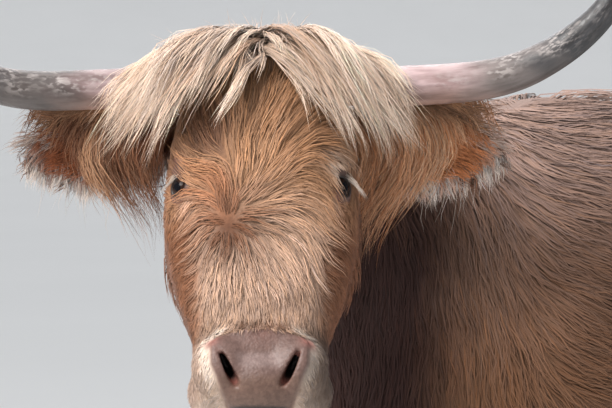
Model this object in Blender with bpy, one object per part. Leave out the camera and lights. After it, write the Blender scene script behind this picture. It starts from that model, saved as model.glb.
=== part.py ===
"""A life-size highland cow that stands still with her head turned to her left.

Metres, +Z up. She faces -Y, her left side is +X, and the origin is on the floor under the middle of her box.
The flesh is modelled whole, parted with thin cuts into head, neck, torso and legs, and carries the long coat
as flat, tapered locks that are fused to the node that they grow from.
"""

import math
from random import Random

import bmesh
import bpy
from mathutils import Matrix, Vector
from mathutils.bvhtree import BVHTree

# Gaps and meshing
GAP = 0.0003
CLEAR = 0.0005
FLATNESS = math.radians(5.0)
HEAD_VOXEL = 0.0065
HEAD_TRIANGLES = 1800
BODY_TRIANGLES = 1750
SMOOTHING = 7

# Stance
WITHERS_HEIGHT = 1.140
HEAD_TURN = math.radians(50)
FACE_SLOPE = math.radians(28)
POLL = Vector((0.100, -0.875, 1.200))
LEG_TOP = 0.485
FRONT_STANCE = 0.145
HIND_STANCE = 0.140

# Feet
HOOF_HEIGHT = 0.062
CLAW_LENGTH = 0.098
CLAW_WIDTH = 0.046
CLAW_SPREAD = 0.027

# Eyes, in the head's own frame: across to her left, out of the face, and down it
EYE_RADIUS = 0.0205
EYE_PLACE = Vector((0.0835, -0.0435, 0.168))
EYE_GAZE = Vector((0.80, 0.58, 0.05)).normalized()
LID_THICKNESS = 0.0052
LID_OPENING = (0.0150, 0.0098)

# Muzzle
NOSTRIL_UPPER = Vector((0.0460, 0.002, 0.400))
NOSTRIL_LOWER = Vector((0.0285, -0.020, 0.434))
MOUTH_FRONT = (-0.076, 0.470)
MOUTH_CORNER = (-0.118, 0.368)
MOUTH_SLOT = 0.0024

# Horns and ears
HORN_THICKNESS = 0.050
TAIL_ROOT = Vector((0, 0.690, 0.985))
EAR_ROOT = Vector((0.090, -0.096, 0.062))
EAR_LENGTH = 0.200
EAR_WIDTH = 0.094
EAR_SHELL = 0.006
EAR_CUP = 0.026

# Coat, as root-to-tip length, width and thickness of a lock
TORSO_LOCK = (0.285, 0.125, 0.0150)
NECK_LOCK = (0.200, 0.085, 0.0120)
LEG_LOCK = (0.115, 0.056, 0.0090)
CHEEK_LOCK = (0.085, 0.048, 0.0070)
FORELOCK = (0.205, 0.042, 0.0090)
EAR_LOCK = (0.090, 0.031, 0.0042)
DOCK_LOCK = (0.120, 0.045, 0.0080)
SWITCH_LOCK = (0.270, 0.058, 0.0130)
LOCK_SINK = 0.012
SHORT_SINK = 0.008
BODY_LIFT = 0.022
SHORT_LIFT = 0.010
# Each row of the forelock: how far behind the poll, how high, where its first lock is, how many a side
FORELOCK_ROWS = ((-0.012, 0.014, 0.0, 5), (-0.048, 0.028, 0.4, 4))
FORELOCK_MIDDLE = (-0.020, 0.002, 0.017)
TORSO_SPACING = 0.150
NECK_SPACING = 0.100
LEG_SPACING = 0.087
CHEEK_SPACING = 0.060
DOCK_SPACING = 0.085
SWITCH_SPACING = 0.040
TORSO_SEED = 11
NECK_SEED = 12
CHEEK_SEED = 14
FORELOCK_SEED = 15
EAR_SEED = 16
TAIL_SEED = 22
LEG_SEED = 20

FORWARD = Vector((math.sin(HEAD_TURN), -math.cos(HEAD_TURN), 0))
FACE_LEFT = Vector((math.cos(HEAD_TURN), math.sin(HEAD_TURN), 0))
FACE_OUT = FORWARD * math.cos(FACE_SLOPE) + Vector((0, 0, math.sin(FACE_SLOPE)))
FACE_DOWN = FORWARD * math.sin(FACE_SLOPE) - Vector((0, 0, math.cos(FACE_SLOPE)))
HEAD = Matrix.Translation(POLL) @ Matrix((FACE_LEFT, FACE_OUT, FACE_DOWN)).transposed().to_4x4()
DOWN = Vector((0, 0, -1))
BACK = Vector((0, 1, 0))
SIDES = (("left", 1), ("right", -1))


def clear_scene():
    for obj in list(bpy.data.objects):
        bpy.data.objects.remove(obj)


def make_material(name, colour, roughness):
    material = bpy.data.materials.new(name)
    material.use_nodes = True
    shader = material.node_tree.nodes["Principled BSDF"]
    shader.inputs["Base Color"].default_value = (*colour, 1)
    shader.inputs["Roughness"].default_value = roughness
    shader.inputs["Metallic"].default_value = 0
    return material


def make_solid(name, bm):
    """Makes a closed mesh object of this bmesh, with its faces pointing out."""
    bmesh.ops.triangulate(bm, faces=bm.faces)
    bmesh.ops.recalc_face_normals(bm, faces=bm.faces)
    mesh = bpy.data.meshes.new(name)
    bm.to_mesh(mesh)
    bm.free()
    obj = bpy.data.objects.new(name, mesh)
    bpy.context.scene.collection.objects.link(obj)
    return obj


def remove(objects):
    for obj in objects:
        bpy.data.objects.remove(obj)


def eased(value, knots):
    """A smooth curve through (place, value) knots, flat beyond its ends."""
    if value <= knots[0][0]:
        return knots[0][1]
    for i in range(len(knots) - 1):
        (x0, y0), (x1, y1) = knots[i], knots[i + 1]
        if value > x1:
            continue
        before, after = knots[max(i - 1, 0)], knots[min(i + 2, len(knots) - 1)]
        slope_in = (y1 - before[1]) / (x1 - before[0])
        slope_out = (after[1] - y0) / (after[0] - x0)
        width = x1 - x0
        t = (value - x0) / width
        return (
            (2 * t**3 - 3 * t**2 + 1) * y0
            + (t**3 - 2 * t**2 + t) * width * slope_in
            + (3 * t**2 - 2 * t**3) * y1
            + (t**3 - t**2) * width * slope_out
        )
    return knots[-1][1]


def oval(centre, across, up, half_width, rise, drop, squareness=2.0, sides=24):
    """A ring round a centre: an oval that may be taller above the centre than below it."""
    ring = []
    for i in range(sides):
        turn = 2 * math.pi * i / sides
        c, s = math.cos(turn), math.sin(turn)
        wide = math.copysign(abs(c) ** (2 / squareness), c) * half_width
        tall = math.copysign(abs(s) ** (2 / squareness), s) * (rise if s > 0 else drop)
        ring.append(centre + across * wide + up * tall)
    return ring


def tube(name, rings, tip=None):
    """A closed tube through rings of points, with a cap on each open end, or a tip at the last."""
    bm = bmesh.new()
    loops = [[bm.verts.new(point) for point in ring] for ring in rings]
    count = len(loops[0])
    for near, far in zip(loops, loops[1:]):
        for i in range(count):
            j = (i + 1) % count
            bm.faces.new((near[i], near[j], far[j]))
            bm.faces.new((near[i], far[j], far[i]))
    ends = [(loops[0], None), (loops[-1], tip)]
    for loop, point in ends:
        if point is None:
            point = sum((v.co for v in loop), Vector()) / count
        apex = bm.verts.new(point)
        for i in range(count):
            bm.faces.new((loop[i], loop[(i + 1) % count], apex))
    return make_solid(name, bm)


def ellipsoid(name, centre, radii, turn=None, segments=20, rings=12):
    bm = bmesh.new()
    bmesh.ops.create_uvsphere(bm, u_segments=segments, v_segments=rings, radius=1)
    matrix = Matrix.Translation(centre) @ (turn or Matrix.Identity(4)) @ Matrix.Diagonal((*radii, 1))
    bmesh.ops.transform(bm, matrix=matrix, verts=bm.verts)
    return make_solid(name, bm)


def block(name, matrix, size):
    """A box of this size, centred on the matrix's place and lying along its axes."""
    bm = bmesh.new()
    bmesh.ops.create_cube(bm, size=1)
    bmesh.ops.transform(bm, matrix=matrix @ Matrix.Diagonal((*size, 1)), verts=bm.verts)
    return make_solid(name, bm)


def moved(obj, matrix):
    obj.data.transform(matrix)
    return obj


def duplicate(obj, name):
    copy = bpy.data.objects.new(name, obj.data.copy())
    bpy.context.scene.collection.objects.link(copy)
    return copy


def settle_modifiers(obj):
    """Applies every modifier of this object to its mesh."""
    graph = bpy.context.evaluated_depsgraph_get()
    mesh = bpy.data.meshes.new_from_object(obj.evaluated_get(graph))
    obj.modifiers.clear()
    obj.data = mesh
    return obj


def combine(obj, others, operation):
    """Joins to, cuts from or keeps within this object the closed meshes given, which are removed."""
    if not others:
        return obj
    operands = bpy.data.collections.new("operands")
    bpy.context.scene.collection.children.link(operands)
    for other in others:
        bpy.context.scene.collection.objects.unlink(other)
        operands.objects.link(other)
    boolean = obj.modifiers.new(operation, "BOOLEAN")
    boolean.operation = operation
    boolean.operand_type = "COLLECTION"
    boolean.collection = operands
    boolean.solver = "MANIFOLD"
    settle_modifiers(obj)
    remove(others)
    bpy.data.collections.remove(operands)
    return obj


def keep_largest(obj):
    """Leaves only the closed surface that reaches round the greatest volume."""
    bm = bmesh.new()
    bm.from_mesh(obj.data)
    unseen = set(bm.faces)
    shells = []
    while unseen:
        stack = [unseen.pop()]
        shell = []
        while stack:
            face = stack.pop()
            shell.append(face)
            for edge in face.edges:
                for other in edge.link_faces:
                    if other in unseen:
                        unseen.remove(other)
                        stack.append(other)
        shells.append(shell)

    def volume(shell):
        return sum(
            face.calc_center_median().dot(face.normal) * face.calc_area() / 3 for face in shell
        )

    largest = max(shells, key=volume)
    dropped = [face for shell in shells if shell is not largest for face in shell]
    bmesh.ops.delete(bm, geom=dropped, context="FACES")
    bmesh.ops.triangulate(bm, faces=bm.faces)
    bm.to_mesh(obj.data)
    bm.free()
    return obj


def merge_flat(obj):
    """Joins faces that lie in nearly one plane, which a union leaves cut up."""
    bm = bmesh.new()
    bm.from_mesh(obj.data)
    bmesh.ops.dissolve_limit(bm, angle_limit=FLATNESS, verts=bm.verts, edges=bm.edges)
    bmesh.ops.triangulate(bm, faces=bm.faces)
    bm.to_mesh(obj.data)
    bm.free()
    return obj


def fuse(name, pieces, voxel, smoothing):
    """One smooth skin over closed pieces that run into each other."""
    bm = bmesh.new()
    for piece in pieces:
        bm.from_mesh(piece.data)
    whole = make_solid(name, bm)
    remove(pieces)
    remesh = whole.modifiers.new("skin", "REMESH")
    remesh.mode = "VOXEL"
    remesh.voxel_size = voxel
    smooth = whole.modifiers.new("smooth", "SMOOTH")
    smooth.factor = 0.5
    smooth.iterations = smoothing
    return settle_modifiers(whole)


def thin_out(obj, triangles):
    """Fewer, larger faces that keep to the same form."""
    obj.data.calc_loop_triangles()
    decimate = obj.modifiers.new("thin", "DECIMATE")
    decimate.ratio = triangles / len(obj.data.loop_triangles)
    decimate.use_collapse_triangulate = True
    return settle_modifiers(obj)


def pushed_out(vertex):
    """How far a corner moves for each face at it to move out by the clearance."""
    lean = Matrix.Identity(3) * 0.002
    pull = Vector()
    for loop in vertex.link_loops:
        normal, weight = loop.face.normal, loop.calc_angle()
        lean += Matrix([normal * (normal[axis] * weight) for axis in range(3)])
        pull += normal * (weight * CLEAR)
    move = lean.inverted() @ pull
    return move * min(1, 2.5 * CLEAR / max(move.length, 1e-9))


def grown(pieces):
    """Closed pieces and copies that are a little thicker all round, which cut a clearance for them."""
    cutters = []
    for piece in pieces:
        bm = bmesh.new()
        bm.from_mesh(piece.data)
        moves = [pushed_out(vertex) for vertex in bm.verts]
        for vertex, move in zip(bm.verts, moves):
            vertex.co += move
        thicker = duplicate(piece, piece.name + "_clear")
        bm.to_mesh(thicker.data)
        bm.free()
        cutters += [thicker, duplicate(piece, piece.name + "_cut")]
    return cutters


def torso_pieces():
    """Barrel, shoulders and rump: y, top, bottom and half width of each section."""
    sections = [
        (-0.66, 0.88, 0.70, 0.070),
        (-0.61, 0.97, 0.62, 0.135),
        (-0.53, 1.05, 0.56, 0.180),
        (-0.42, 1.118, 0.525, 0.215),
        (-0.30, WITHERS_HEIGHT, 0.515, 0.240),
        (-0.12, 1.125, 0.505, 0.275),
        (0.08, 1.105, 0.500, 0.300),
        (0.25, 1.100, 0.510, 0.305),
        (0.40, 1.105, 0.550, 0.280),
        (0.52, 1.100, 0.610, 0.240),
        (0.62, 1.075, 0.690, 0.185),
        (0.69, 1.01, 0.790, 0.110),
    ]
    rings = []
    for y, top, bottom, half_width in sections:
        middle = Vector((0, y, bottom + 0.52 * (top - bottom)))
        rise, drop = top - middle.z, middle.z - bottom
        rings.append(oval(middle, Vector((1, 0, 0)), Vector((0, 0, 1)), half_width, rise, drop, 2.25))
    return [tube("barrel", rings)]


def neck_pieces():
    """Neck from the withers to the poll: place, turn, half width, rise and drop of each section."""
    sections = [
        ((0.000, -0.34, 0.83), 0, 0.200, 0.270, 0.320),
        ((0.000, -0.48, 0.86), 2, 0.175, 0.245, 0.305),
        ((0.002, -0.60, 0.91), 10, 0.145, 0.210, 0.270),
        ((0.004, -0.71, 0.96), 22, 0.118, 0.185, 0.225),
        ((0.014, -0.78, 1.01), 36, 0.096, 0.145, 0.155),
        ((0.048, -0.835, 1.040), 48, 0.078, 0.100, 0.110),
    ]
    rings = []
    lean = Vector((0, -0.25, 0.97)).normalized()
    for place, turn, half_width, rise, drop in sections:
        across = Matrix.Rotation(math.radians(turn), 3, "Z") @ Vector((1, 0, 0))
        rings.append(oval(Vector(place), across, lean, half_width, rise, drop, 2.0))
    return [tube("neck_form", rings)]


def leg_form(name, side, stance, sections):
    """A leg: height, y, half width and half depth of each section."""
    rings = []
    for z, y, shift, half_width, half_depth in sections:
        middle = Vector((side * (stance + shift), y, z))
        rings.append(
            oval(middle, Vector((1, 0, 0)), Vector((0, 1, 0)), half_width, half_depth, half_depth, 2.2)
        )
    return tube(name, rings)


def leg_pieces():
    front = [
        (0.90, -0.395, 0.005, 0.070, 0.120),
        (0.76, -0.400, 0.020, 0.095, 0.150),
        (0.64, -0.395, 0.015, 0.090, 0.125),
        (0.55, -0.375, 0.005, 0.070, 0.088),
        (0.46, -0.368, 0.000, 0.054, 0.064),
        (0.37, -0.370, 0.000, 0.045, 0.048),
        (0.315, -0.374, 0.000, 0.047, 0.049),
        (0.260, -0.370, 0.000, 0.038, 0.041),
        (0.190, -0.367, 0.000, 0.032, 0.035),
        (0.130, -0.367, 0.000, 0.035, 0.039),
        (0.095, -0.374, 0.000, 0.040, 0.045),
        (0.060, -0.386, 0.000, 0.041, 0.046),
        (0.030, -0.390, 0.000, 0.041, 0.046),
    ]
    hind = [
        (0.98, 0.480, 0.010, 0.090, 0.120),
        (0.84, 0.480, 0.020, 0.115, 0.170),
        (0.70, 0.470, 0.015, 0.110, 0.165),
        (0.59, 0.470, 0.005, 0.085, 0.120),
        (0.50, 0.495, 0.000, 0.062, 0.080),
        (0.43, 0.525, 0.000, 0.048, 0.058),
        (0.380, 0.540, 0.000, 0.044, 0.053),
        (0.320, 0.535, 0.000, 0.037, 0.044),
        (0.220, 0.520, 0.000, 0.032, 0.036),
        (0.140, 0.508, 0.000, 0.035, 0.039),
        (0.100, 0.500, 0.000, 0.040, 0.045),
        (0.060, 0.486, 0.000, 0.041, 0.046),
        (0.030, 0.482, 0.000, 0.041, 0.046),
    ]
    pieces = []
    for label, side in SIDES:
        pieces.append(leg_form("front_" + label, side, FRONT_STANCE, front))
        pieces.append(leg_form("hind_" + label, side, HIND_STANCE, hind))
    return pieces


def head_pieces():
    """Skull, jaw, brows, cheeks, lips and chin, in the head's own frame, then set in place."""
    face = [(0, -0.034), (0.02, -0.010), (0.06, 0.004), (0.14, 0.010), (0.20, 0.004), (0.27, -0.005),
            (0.36, -0.006), (0.395, -0.004), (0.425, -0.020), (0.452, -0.052)]
    jaw = [(0, -0.125), (0.05, -0.190), (0.10, -0.228), (0.17, -0.240), (0.23, -0.218), (0.30, -0.178),
           (0.37, -0.150), (0.42, -0.140), (0.452, -0.110)]
    width = [(0, 0.062), (0.03, 0.086), (0.08, 0.106), (0.165, 0.119), (0.25, 0.112), (0.315, 0.096),
             (0.355, 0.082), (0.40, 0.083), (0.43, 0.074), (0.452, 0.050)]
    rings = []
    count = 16
    for i in range(count + 1):
        down = 0.452 * i / count
        top, bottom, half_width = eased(down, face), eased(down, jaw), eased(down, width)
        middle = top - 0.40 * (top - bottom)
        centre = Vector((0, middle, down))
        rise, drop = top - middle, middle - bottom
        rings.append(oval(centre, Vector((1, 0, 0)), Vector((0, 1, 0)), half_width, rise, drop, 2.45))
    pieces = [tube("skull", rings)]
    pieces.append(ellipsoid("poll", (0, -0.045, 0.012), (0.078, 0.045, 0.030)))
    pieces.append(ellipsoid("chin", (0, -0.112, 0.432), (0.050, 0.034, 0.036)))
    pieces.append(ellipsoid("nose_pad", (0, -0.034, 0.420), (0.060, 0.036, 0.040)))
    for _, side in SIDES:
        pieces.append(ellipsoid("brow", (side * 0.084, -0.034, 0.132), (0.028, 0.026, 0.040)))
        pieces.append(ellipsoid("horn_root", (side * 0.080, -0.044, 0.028), (0.034, 0.034, 0.034)))
        pieces.append(ellipsoid("cheek", (side * 0.080, -0.120, 0.205), (0.038, 0.075, 0.085)))
        pieces.append(ellipsoid("nostril_wing", (side * 0.045, -0.026, 0.404), (0.038, 0.032, 0.042)))
        pieces.append(ellipsoid("lip", (side * 0.046, -0.066, 0.420), (0.043, 0.046, 0.040)))
        pieces.append(lid_bulb(side))
    return [moved(piece, HEAD) for piece in pieces]


def mirrored(point, side):
    """A point or direction of the head's left side, on the side asked for."""
    return Vector((side * point.x, point.y, point.z))


def make_eye(name, side):
    """An eyeball whose clear front stands a little proud of it."""
    centre = mirrored(EYE_PLACE, side)
    gaze = mirrored(EYE_GAZE, side)
    turn = gaze.to_track_quat("Z", "Y").to_matrix().to_4x4()
    ball = ellipsoid(name, centre, (EYE_RADIUS,) * 3, turn, 10, 7)
    for vertex in ball.data.vertices:
        forward = (vertex.co - centre).normalized().dot(gaze)
        vertex.co += gaze * 0.0016 * max(0, forward - 0.80) / 0.20
    return moved(ball, HEAD)


def lid_bulb(side):
    """The closed lids over the eyeball, before they are opened."""
    return ellipsoid("lid_bulb", mirrored(EYE_PLACE, side), (EYE_RADIUS + LID_THICKNESS,) * 3)


def lid_cutters(side):
    """What opens the lids: the ball's socket and the almond between them."""
    centre = mirrored(EYE_PLACE, side)
    gaze = mirrored(EYE_GAZE, side)
    turn = gaze.to_track_quat("Z", "Y").to_matrix().to_4x4()
    socket = ellipsoid("socket", centre, (EYE_RADIUS + GAP,) * 3, turn, 10, 7)
    for vertex in socket.data.vertices:
        forward = (vertex.co - centre).normalized().dot(gaze)
        vertex.co += gaze * 0.0020 * max(0, forward - 0.70) / 0.30
    along = Vector((0, 0.30, 0.95))
    along = (along - gaze * along.dot(gaze)).normalized()
    upward = gaze.cross(along)
    rings = []
    for reach, widening in ((0.008, 1.0), (0.060, 1.5)):
        middle = centre + gaze * reach
        rings.append(
            oval(middle, along, upward, LID_OPENING[0] * widening, LID_OPENING[1] * widening,
                 LID_OPENING[1] * widening, 1.7, 12)
        )
    opening = tube("opening", rings)
    return [moved(socket, HEAD), moved(opening, HEAD)]


def nostril_cutter(side):
    """A slanting comma that is wide below and narrow above."""
    upper, lower = mirrored(NOSTRIL_UPPER, side), mirrored(NOSTRIL_LOWER, side)
    inward = Vector((side * 0.10, -0.86, -0.50)).normalized()
    slant = (lower - upper).normalized()
    thick = inward.cross(slant).normalized()
    rings = []
    for reach, size in ((-0.014, 1.15), (0.010, 1.0), (0.028, 0.55)):
        ring = []
        for i in range(12):
            turn = 2 * math.pi * i / 12
            share = 0.5 + 0.5 * math.cos(turn)
            fat = (0.0030 + 0.0052 * share) * size
            middle = upper.lerp(lower, 0.5) + inward * reach
            half = (lower - upper).length / 2 * size
            ring.append(middle + slant * half * math.cos(turn) + thick * fat * math.sin(turn))
        rings.append(ring)
    return moved(tube("nostril", rings), HEAD)


def mouth_cutter():
    """A thin slot from the front of the lips back to the corners of the mouth."""
    front, corner = Vector((0, *MOUTH_FRONT)), Vector((0, *MOUTH_CORNER))
    run = front - corner
    across = Vector((1, 0, 0))
    facing = run.normalized().cross(across)
    turn = Matrix((across, run.normalized(), -facing)).transposed().to_4x4()
    matrix = HEAD @ Matrix.Translation((front + corner) / 2) @ turn
    return block("mouth", matrix, (0.26, run.length, MOUTH_SLOT))


def horn_path(side):
    """Across, height and forward reach of the horn's middle line. The right horn dips before it rises."""
    rise = {
        1: [(0.060, 0.002), (0.166, 0.001), (0.262, 0.007), (0.310, 0.018), (0.350, 0.037),
            (0.386, 0.062), (0.415, 0.092), (0.438, 0.135), (0.450, 0.185), (0.452, 0.235)],
        -1: [(0.060, 0.002), (0.140, -0.001), (0.210, -0.004), (0.270, -0.005), (0.316, 0.001),
             (0.362, 0.020), (0.402, 0.054), (0.430, 0.104), (0.446, 0.160), (0.452, 0.218)],
    }[side]
    root = HEAD @ Vector((0, -0.044, 0.027))
    points = []
    for across, height in rise:
        forward = 0.030 * (across / 0.45) ** 2 + 0.10 * max(0, height) ** 1.2
        points.append(root + FACE_LEFT * side * across + Vector((0, 0, height)) + FORWARD * forward)
    return points


def horn_radius(share):
    knots = [(0, 1.0), (0.40, 0.98), (0.58, 0.84), (0.75, 0.64), (0.88, 0.42), (1, 0.13)]
    return HORN_THICKNESS / 2 * eased(share, knots)


def sample_path(points, count):
    """Evenly spread places along a smooth curve through the points."""
    lengths = [0]
    for near, far in zip(points, points[1:]):
        lengths.append(lengths[-1] + (far - near).length)
    found = []
    for i in range(count):
        at = lengths[-1] * i / (count - 1)
        found.append(
            Vector(eased(at, [(along, p[axis]) for along, p in zip(lengths, points)]) for axis in range(3))
        )
    return found


def make_horn(name, side):
    path = sample_path(horn_path(side), 14)
    rings = []
    for i, point in enumerate(path):
        ahead = path[min(i + 1, len(path) - 1)] - path[max(i - 1, 0)]
        across = ahead.cross(FORWARD).normalized()
        upward = across.cross(ahead).normalized()
        radius = horn_radius(i / (len(path) - 1))
        rings.append(oval(point, across, upward, radius, radius, radius, 2.0, 10))
    return tube(name, rings[:-1], tip=path[-1] + (path[-1] - path[-2]) * 0.4)


def ear_frame(side):
    """Where the ear grows, along it, across it to its upper rim, and out of its cup."""
    root = HEAD @ mirrored(EAR_ROOT, side)
    along = (FACE_LEFT * side + DOWN * 0.06 - FORWARD * 0.10).normalized()
    facing = (FORWARD + DOWN * 0.16 + FACE_LEFT * side * 0.05).normalized()
    upper = facing.cross(along).normalized() * side
    facing = along.cross(upper).normalized() * side
    return root, along, upper if upper.z > 0 else -upper, facing


def ear_point(side, share, across, height=0.0):
    """A point of the ear's cup: share runs from root to tip, across from lower to upper rim."""
    root, along, upper, facing = ear_frame(side)
    spread = [(0, 0.40), (0.2, 0.66), (0.5, 1.0), (0.75, 0.88), (0.92, 0.50), (1, 0.16)]
    half = EAR_WIDTH / 2 * eased(share, spread)
    cup = EAR_CUP * eased(share, [(0, 0.9), (0.4, 1.0), (0.8, 0.55), (1, 0.1)])
    droop = 0.012 * share**2
    place = root + along * EAR_LENGTH * share + upper * (half * across - droop)
    return place + facing * (cup * (across**2 - 0.4) * min(1, half / 0.03) + height)


def make_ear_shell(name, side):
    rings = []
    steps = 5
    for i in range(9):
        share = i / 8
        shell = EAR_SHELL * (1.5 - 0.7 * share)
        front = [ear_point(side, share, -1 + 2 * j / (steps - 1), shell / 2) for j in range(steps)]
        rear = [ear_point(side, share, 1 - 2 * j / (steps - 1), -shell / 2) for j in range(steps)]
        rings.append(front + rear)
    return tube(name, rings)


def lock_rings(path, outward, width, thickness):
    """Three-cornered rings of a flat lock, ridged along its top, that tapers to its root and its tip."""
    rings = []
    last = len(path) - 1
    held = None
    for i in range(last):
        share = i / last
        ahead = (path[i + 1] - path[max(i - 1, 0)]).normalized()
        side = ahead.cross(outward[i]).normalized()
        if held:
            side = side + held * 1.5
            side = (side - ahead * side.dot(ahead)).normalized()
        held = side
        flat = side.cross(ahead).normalized()
        half = width / 2 * eased(share, [(0, 0.45), (0.25, 1.0), (0.5, 0.88), (0.75, 0.55), (1, 0.1)])
        thick = thickness * (1 - 0.45 * share)
        middle = path[i]
        rings.append([middle + side * half, middle + flat * thick, middle - side * half])
    return rings


def comb(skin, root, normal, lie, length, steps, lift, sink, fall, rise=0.25):
    """Follows the lie of the coat from a root, out of the skin and over it, and lets the end fall free."""
    path, outward = [root - normal * sink], [normal.copy()]
    place = root.copy()
    heading = lie(root, normal)
    for i in range(1, steps + 1):
        share = i / steps
        flow = lie(place, outward[-1]) * (1 - fall * share)
        heading = (flow + heading * 0.6 + DOWN * fall * share).normalized()
        place = place + heading * length / steps
        nearest, facing, _, _ = skin.find_nearest(place)
        height = (place - nearest).dot(facing)
        wanted = lift * (rise + (1 - rise) * share)
        if height < wanted:
            place += facing * (wanted - height)
        path.append(place.copy())
        outward.append((outward[-1] + facing).normalized())
    return path, outward


def make_lock(name, path, outward, width, thickness):
    return tube(name, lock_rings(path, outward, width, thickness), tip=path[-1])


def along_skin(direction, normal):
    flat = direction - normal * direction.dot(normal)
    return flat.normalized() if flat.length > 0.05 else DOWN.copy()


def tree_of(objects):
    """The surfaces of these objects, to find the nearest place on them and the way out of it."""
    bm = bmesh.new()
    for obj in objects:
        bm.from_mesh(obj.data)
    tree = BVHTree.FromBMesh(bm)
    bm.free()
    return tree


def body_lie(point, normal):
    """The lie of the long coat: down the neck, back over shoulder and flank, down the rump and legs."""
    side = 1 if point.x > 0 else -1
    along = [(-0.70, 0.10), (-0.60, 0.45), (-0.50, 1.5), (-0.30, 1.4), (0.20, 1.0), (0.50, 0.5), (0.65, 0.1)]
    backward = eased(point.y, along)
    backward *= eased(point.z, [(0.45, 0.0), (0.60, 0.35), (0.90, 1.0)])
    outward = Vector((side * max(0, normal.z) * 1.1, 0, 0))
    return along_skin(DOWN + BACK * backward + outward, normal)


def head_lie(point, normal):
    """The lie on the cheeks, jaw and nape: back and down."""
    return along_skin(DOWN - FORWARD * 0.7, normal)


def scatter(obj, spacing, rng, wanted, tries=5000):
    """Evenly spread roots on an object's faces: place and outward normal."""
    mesh = obj.data
    mesh.calc_loop_triangles()
    corners = [[mesh.vertices[v].co.copy() for v in triangle.vertices] for triangle in mesh.loop_triangles]
    areas = [triangle.area for triangle in mesh.loop_triangles]
    normals = [triangle.normal.copy() for triangle in mesh.loop_triangles]
    found = []
    for pick in rng.choices(range(len(corners)), weights=areas, k=tries):
        u, v = rng.random(), rng.random()
        if u + v > 1:
            u, v = 1 - u, 1 - v
        a, b, c = corners[pick]
        place = a + (b - a) * u + (c - a) * v
        if wanted(place, normals[pick]) and all((place - other).length > spacing for other, _ in found):
            found.append((place, normals[pick]))
    return found


def coat(name, skin, roots, lie, size, rng, steps=4, lift=BODY_LIFT, fall=0.3, sink=LOCK_SINK):
    """Locks over a node, one from each root, varied in length, width and lie."""
    locks = []
    for i, (root, normal) in enumerate(roots):
        swing = rng.uniform(-0.20, 0.20)

        def turned(place, facing):
            flow = lie(place, facing)
            return (flow + facing.cross(flow) * swing).normalized()

        length = size[0] * rng.uniform(0.80, 1.15)
        width = size[1] * rng.uniform(0.85, 1.12)
        reach = lift * rng.uniform(0.75, 1.3)
        path, outward = comb(skin, root, normal, turned, length, steps, reach, sink, fall)
        locks.append(make_lock(f"{name}_{i}", path, outward, width, size[2]))
    return locks


def torso_coat(torso, skin):
    seam = neck_plane().inverted()
    rng = Random(TORSO_SEED)

    def wanted(place, normal):
        behind_neck = (seam @ place).z < -0.012
        over_legs = place.z > LEG_TOP + 0.025
        return behind_neck and over_legs and normal.z > -0.70 and (place - TAIL_ROOT).length > 0.07

    roots = scatter(torso, TORSO_SPACING, rng, wanted)
    return coat("torso_lock", skin, roots, body_lie, TORSO_LOCK, rng, fall=0.35)


def neck_coat(neck, skin, head_skin):
    seam = neck_plane().inverted()
    rng = Random(NECK_SEED)

    def wanted(place, normal):
        return (seam @ place).z > 0.015 and head_skin.find_nearest(place)[3] > 0.022

    roots = scatter(neck, NECK_SPACING, rng, wanted)
    return coat("neck_lock", skin, roots, body_lie, NECK_LOCK, rng, fall=0.5)


def leg_coat(leg, skin, seed):
    rng = Random(seed)

    def wanted(place, normal):
        return 0.15 < place.z < LEG_TOP - 0.03

    roots = scatter(leg, LEG_SPACING, rng, wanted, 1500)
    return coat("leg_lock", skin, roots, body_lie, LEG_LOCK, rng, 3, SHORT_LIFT * 1.2, 0.4)


def head_coat(head, skin):
    """Locks of the cheeks, jaw and nape."""
    into_head = HEAD.inverted()
    rng = Random(CHEEK_SEED)

    def wanted(place, normal):
        across, out, down = into_head @ place
        jaw = out < -0.135 and 0.06 < down < 0.34
        nape = out < -0.05 and down < 0.03 and abs(across) < 0.07
        return jaw or nape

    roots = scatter(head, CHEEK_SPACING, rng, wanted, 3000)
    return coat("cheek_lock", skin, roots, head_lie, CHEEK_LOCK, rng, 3, SHORT_LIFT, 0.3, SHORT_SINK)


def forelock(skin):
    """A parted fan of locks from the poll, out over the horns' roots and down beside the forehead."""
    rng = Random(FORELOCK_SEED)
    turn = HEAD.to_3x3()
    into_head = HEAD.inverted()
    locks = []
    for back, lift, spread, count in FORELOCK_ROWS:
        for _, side in SIDES:
            for i in range(count):
                share = (i + spread) / (count - 0.5)
                angle = math.radians(22 + 46 * share + rng.uniform(-4, 4))
                across = side * (0.009 + 0.066 * share) + rng.uniform(-0.003, 0.003)
                start = HEAD @ Vector((across, back + rng.uniform(-0.004, 0.004), -0.02))
                root, normal, _, _ = skin.find_nearest(start)

                def lie(place, facing):
                    down = eased((into_head @ place).z, [(-0.03, 0.0), (0.02, 1.0)])
                    over = Vector((side * math.sin(angle) * 0.7, 1, 0)).lerp(
                        Vector((side * math.sin(angle), 0, math.cos(angle))), down
                    )
                    return along_skin(turn @ over, facing)

                length = FORELOCK[0] * rng.uniform(0.90, 1.08) * (1.0 - 0.15 * share)
                path, outward = comb(skin, root, normal, lie, length, 4, lift, 0.010, 0.5 * share, 0.7)
                width = FORELOCK[1] * rng.uniform(0.9, 1.15)
                locks.append(make_lock(f"forelock_{len(locks)}", path, outward, width, FORELOCK[2]))
    for across in FORELOCK_MIDDLE:
        root, normal, _, _ = skin.find_nearest(HEAD @ Vector((across, -0.035, -0.02)))

        def lie(place, facing):
            return along_skin(turn @ Vector((across * 6, 1, 0.4)), facing)

        path, outward = comb(skin, root, normal, lie, FORELOCK[0] * 0.55, 4, 0.020, 0.010, 0.1, 0.7)
        locks.append(make_lock(f"forelock_{len(locks)}", path, outward, FORELOCK[1], FORELOCK[2]))
    return locks


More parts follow.
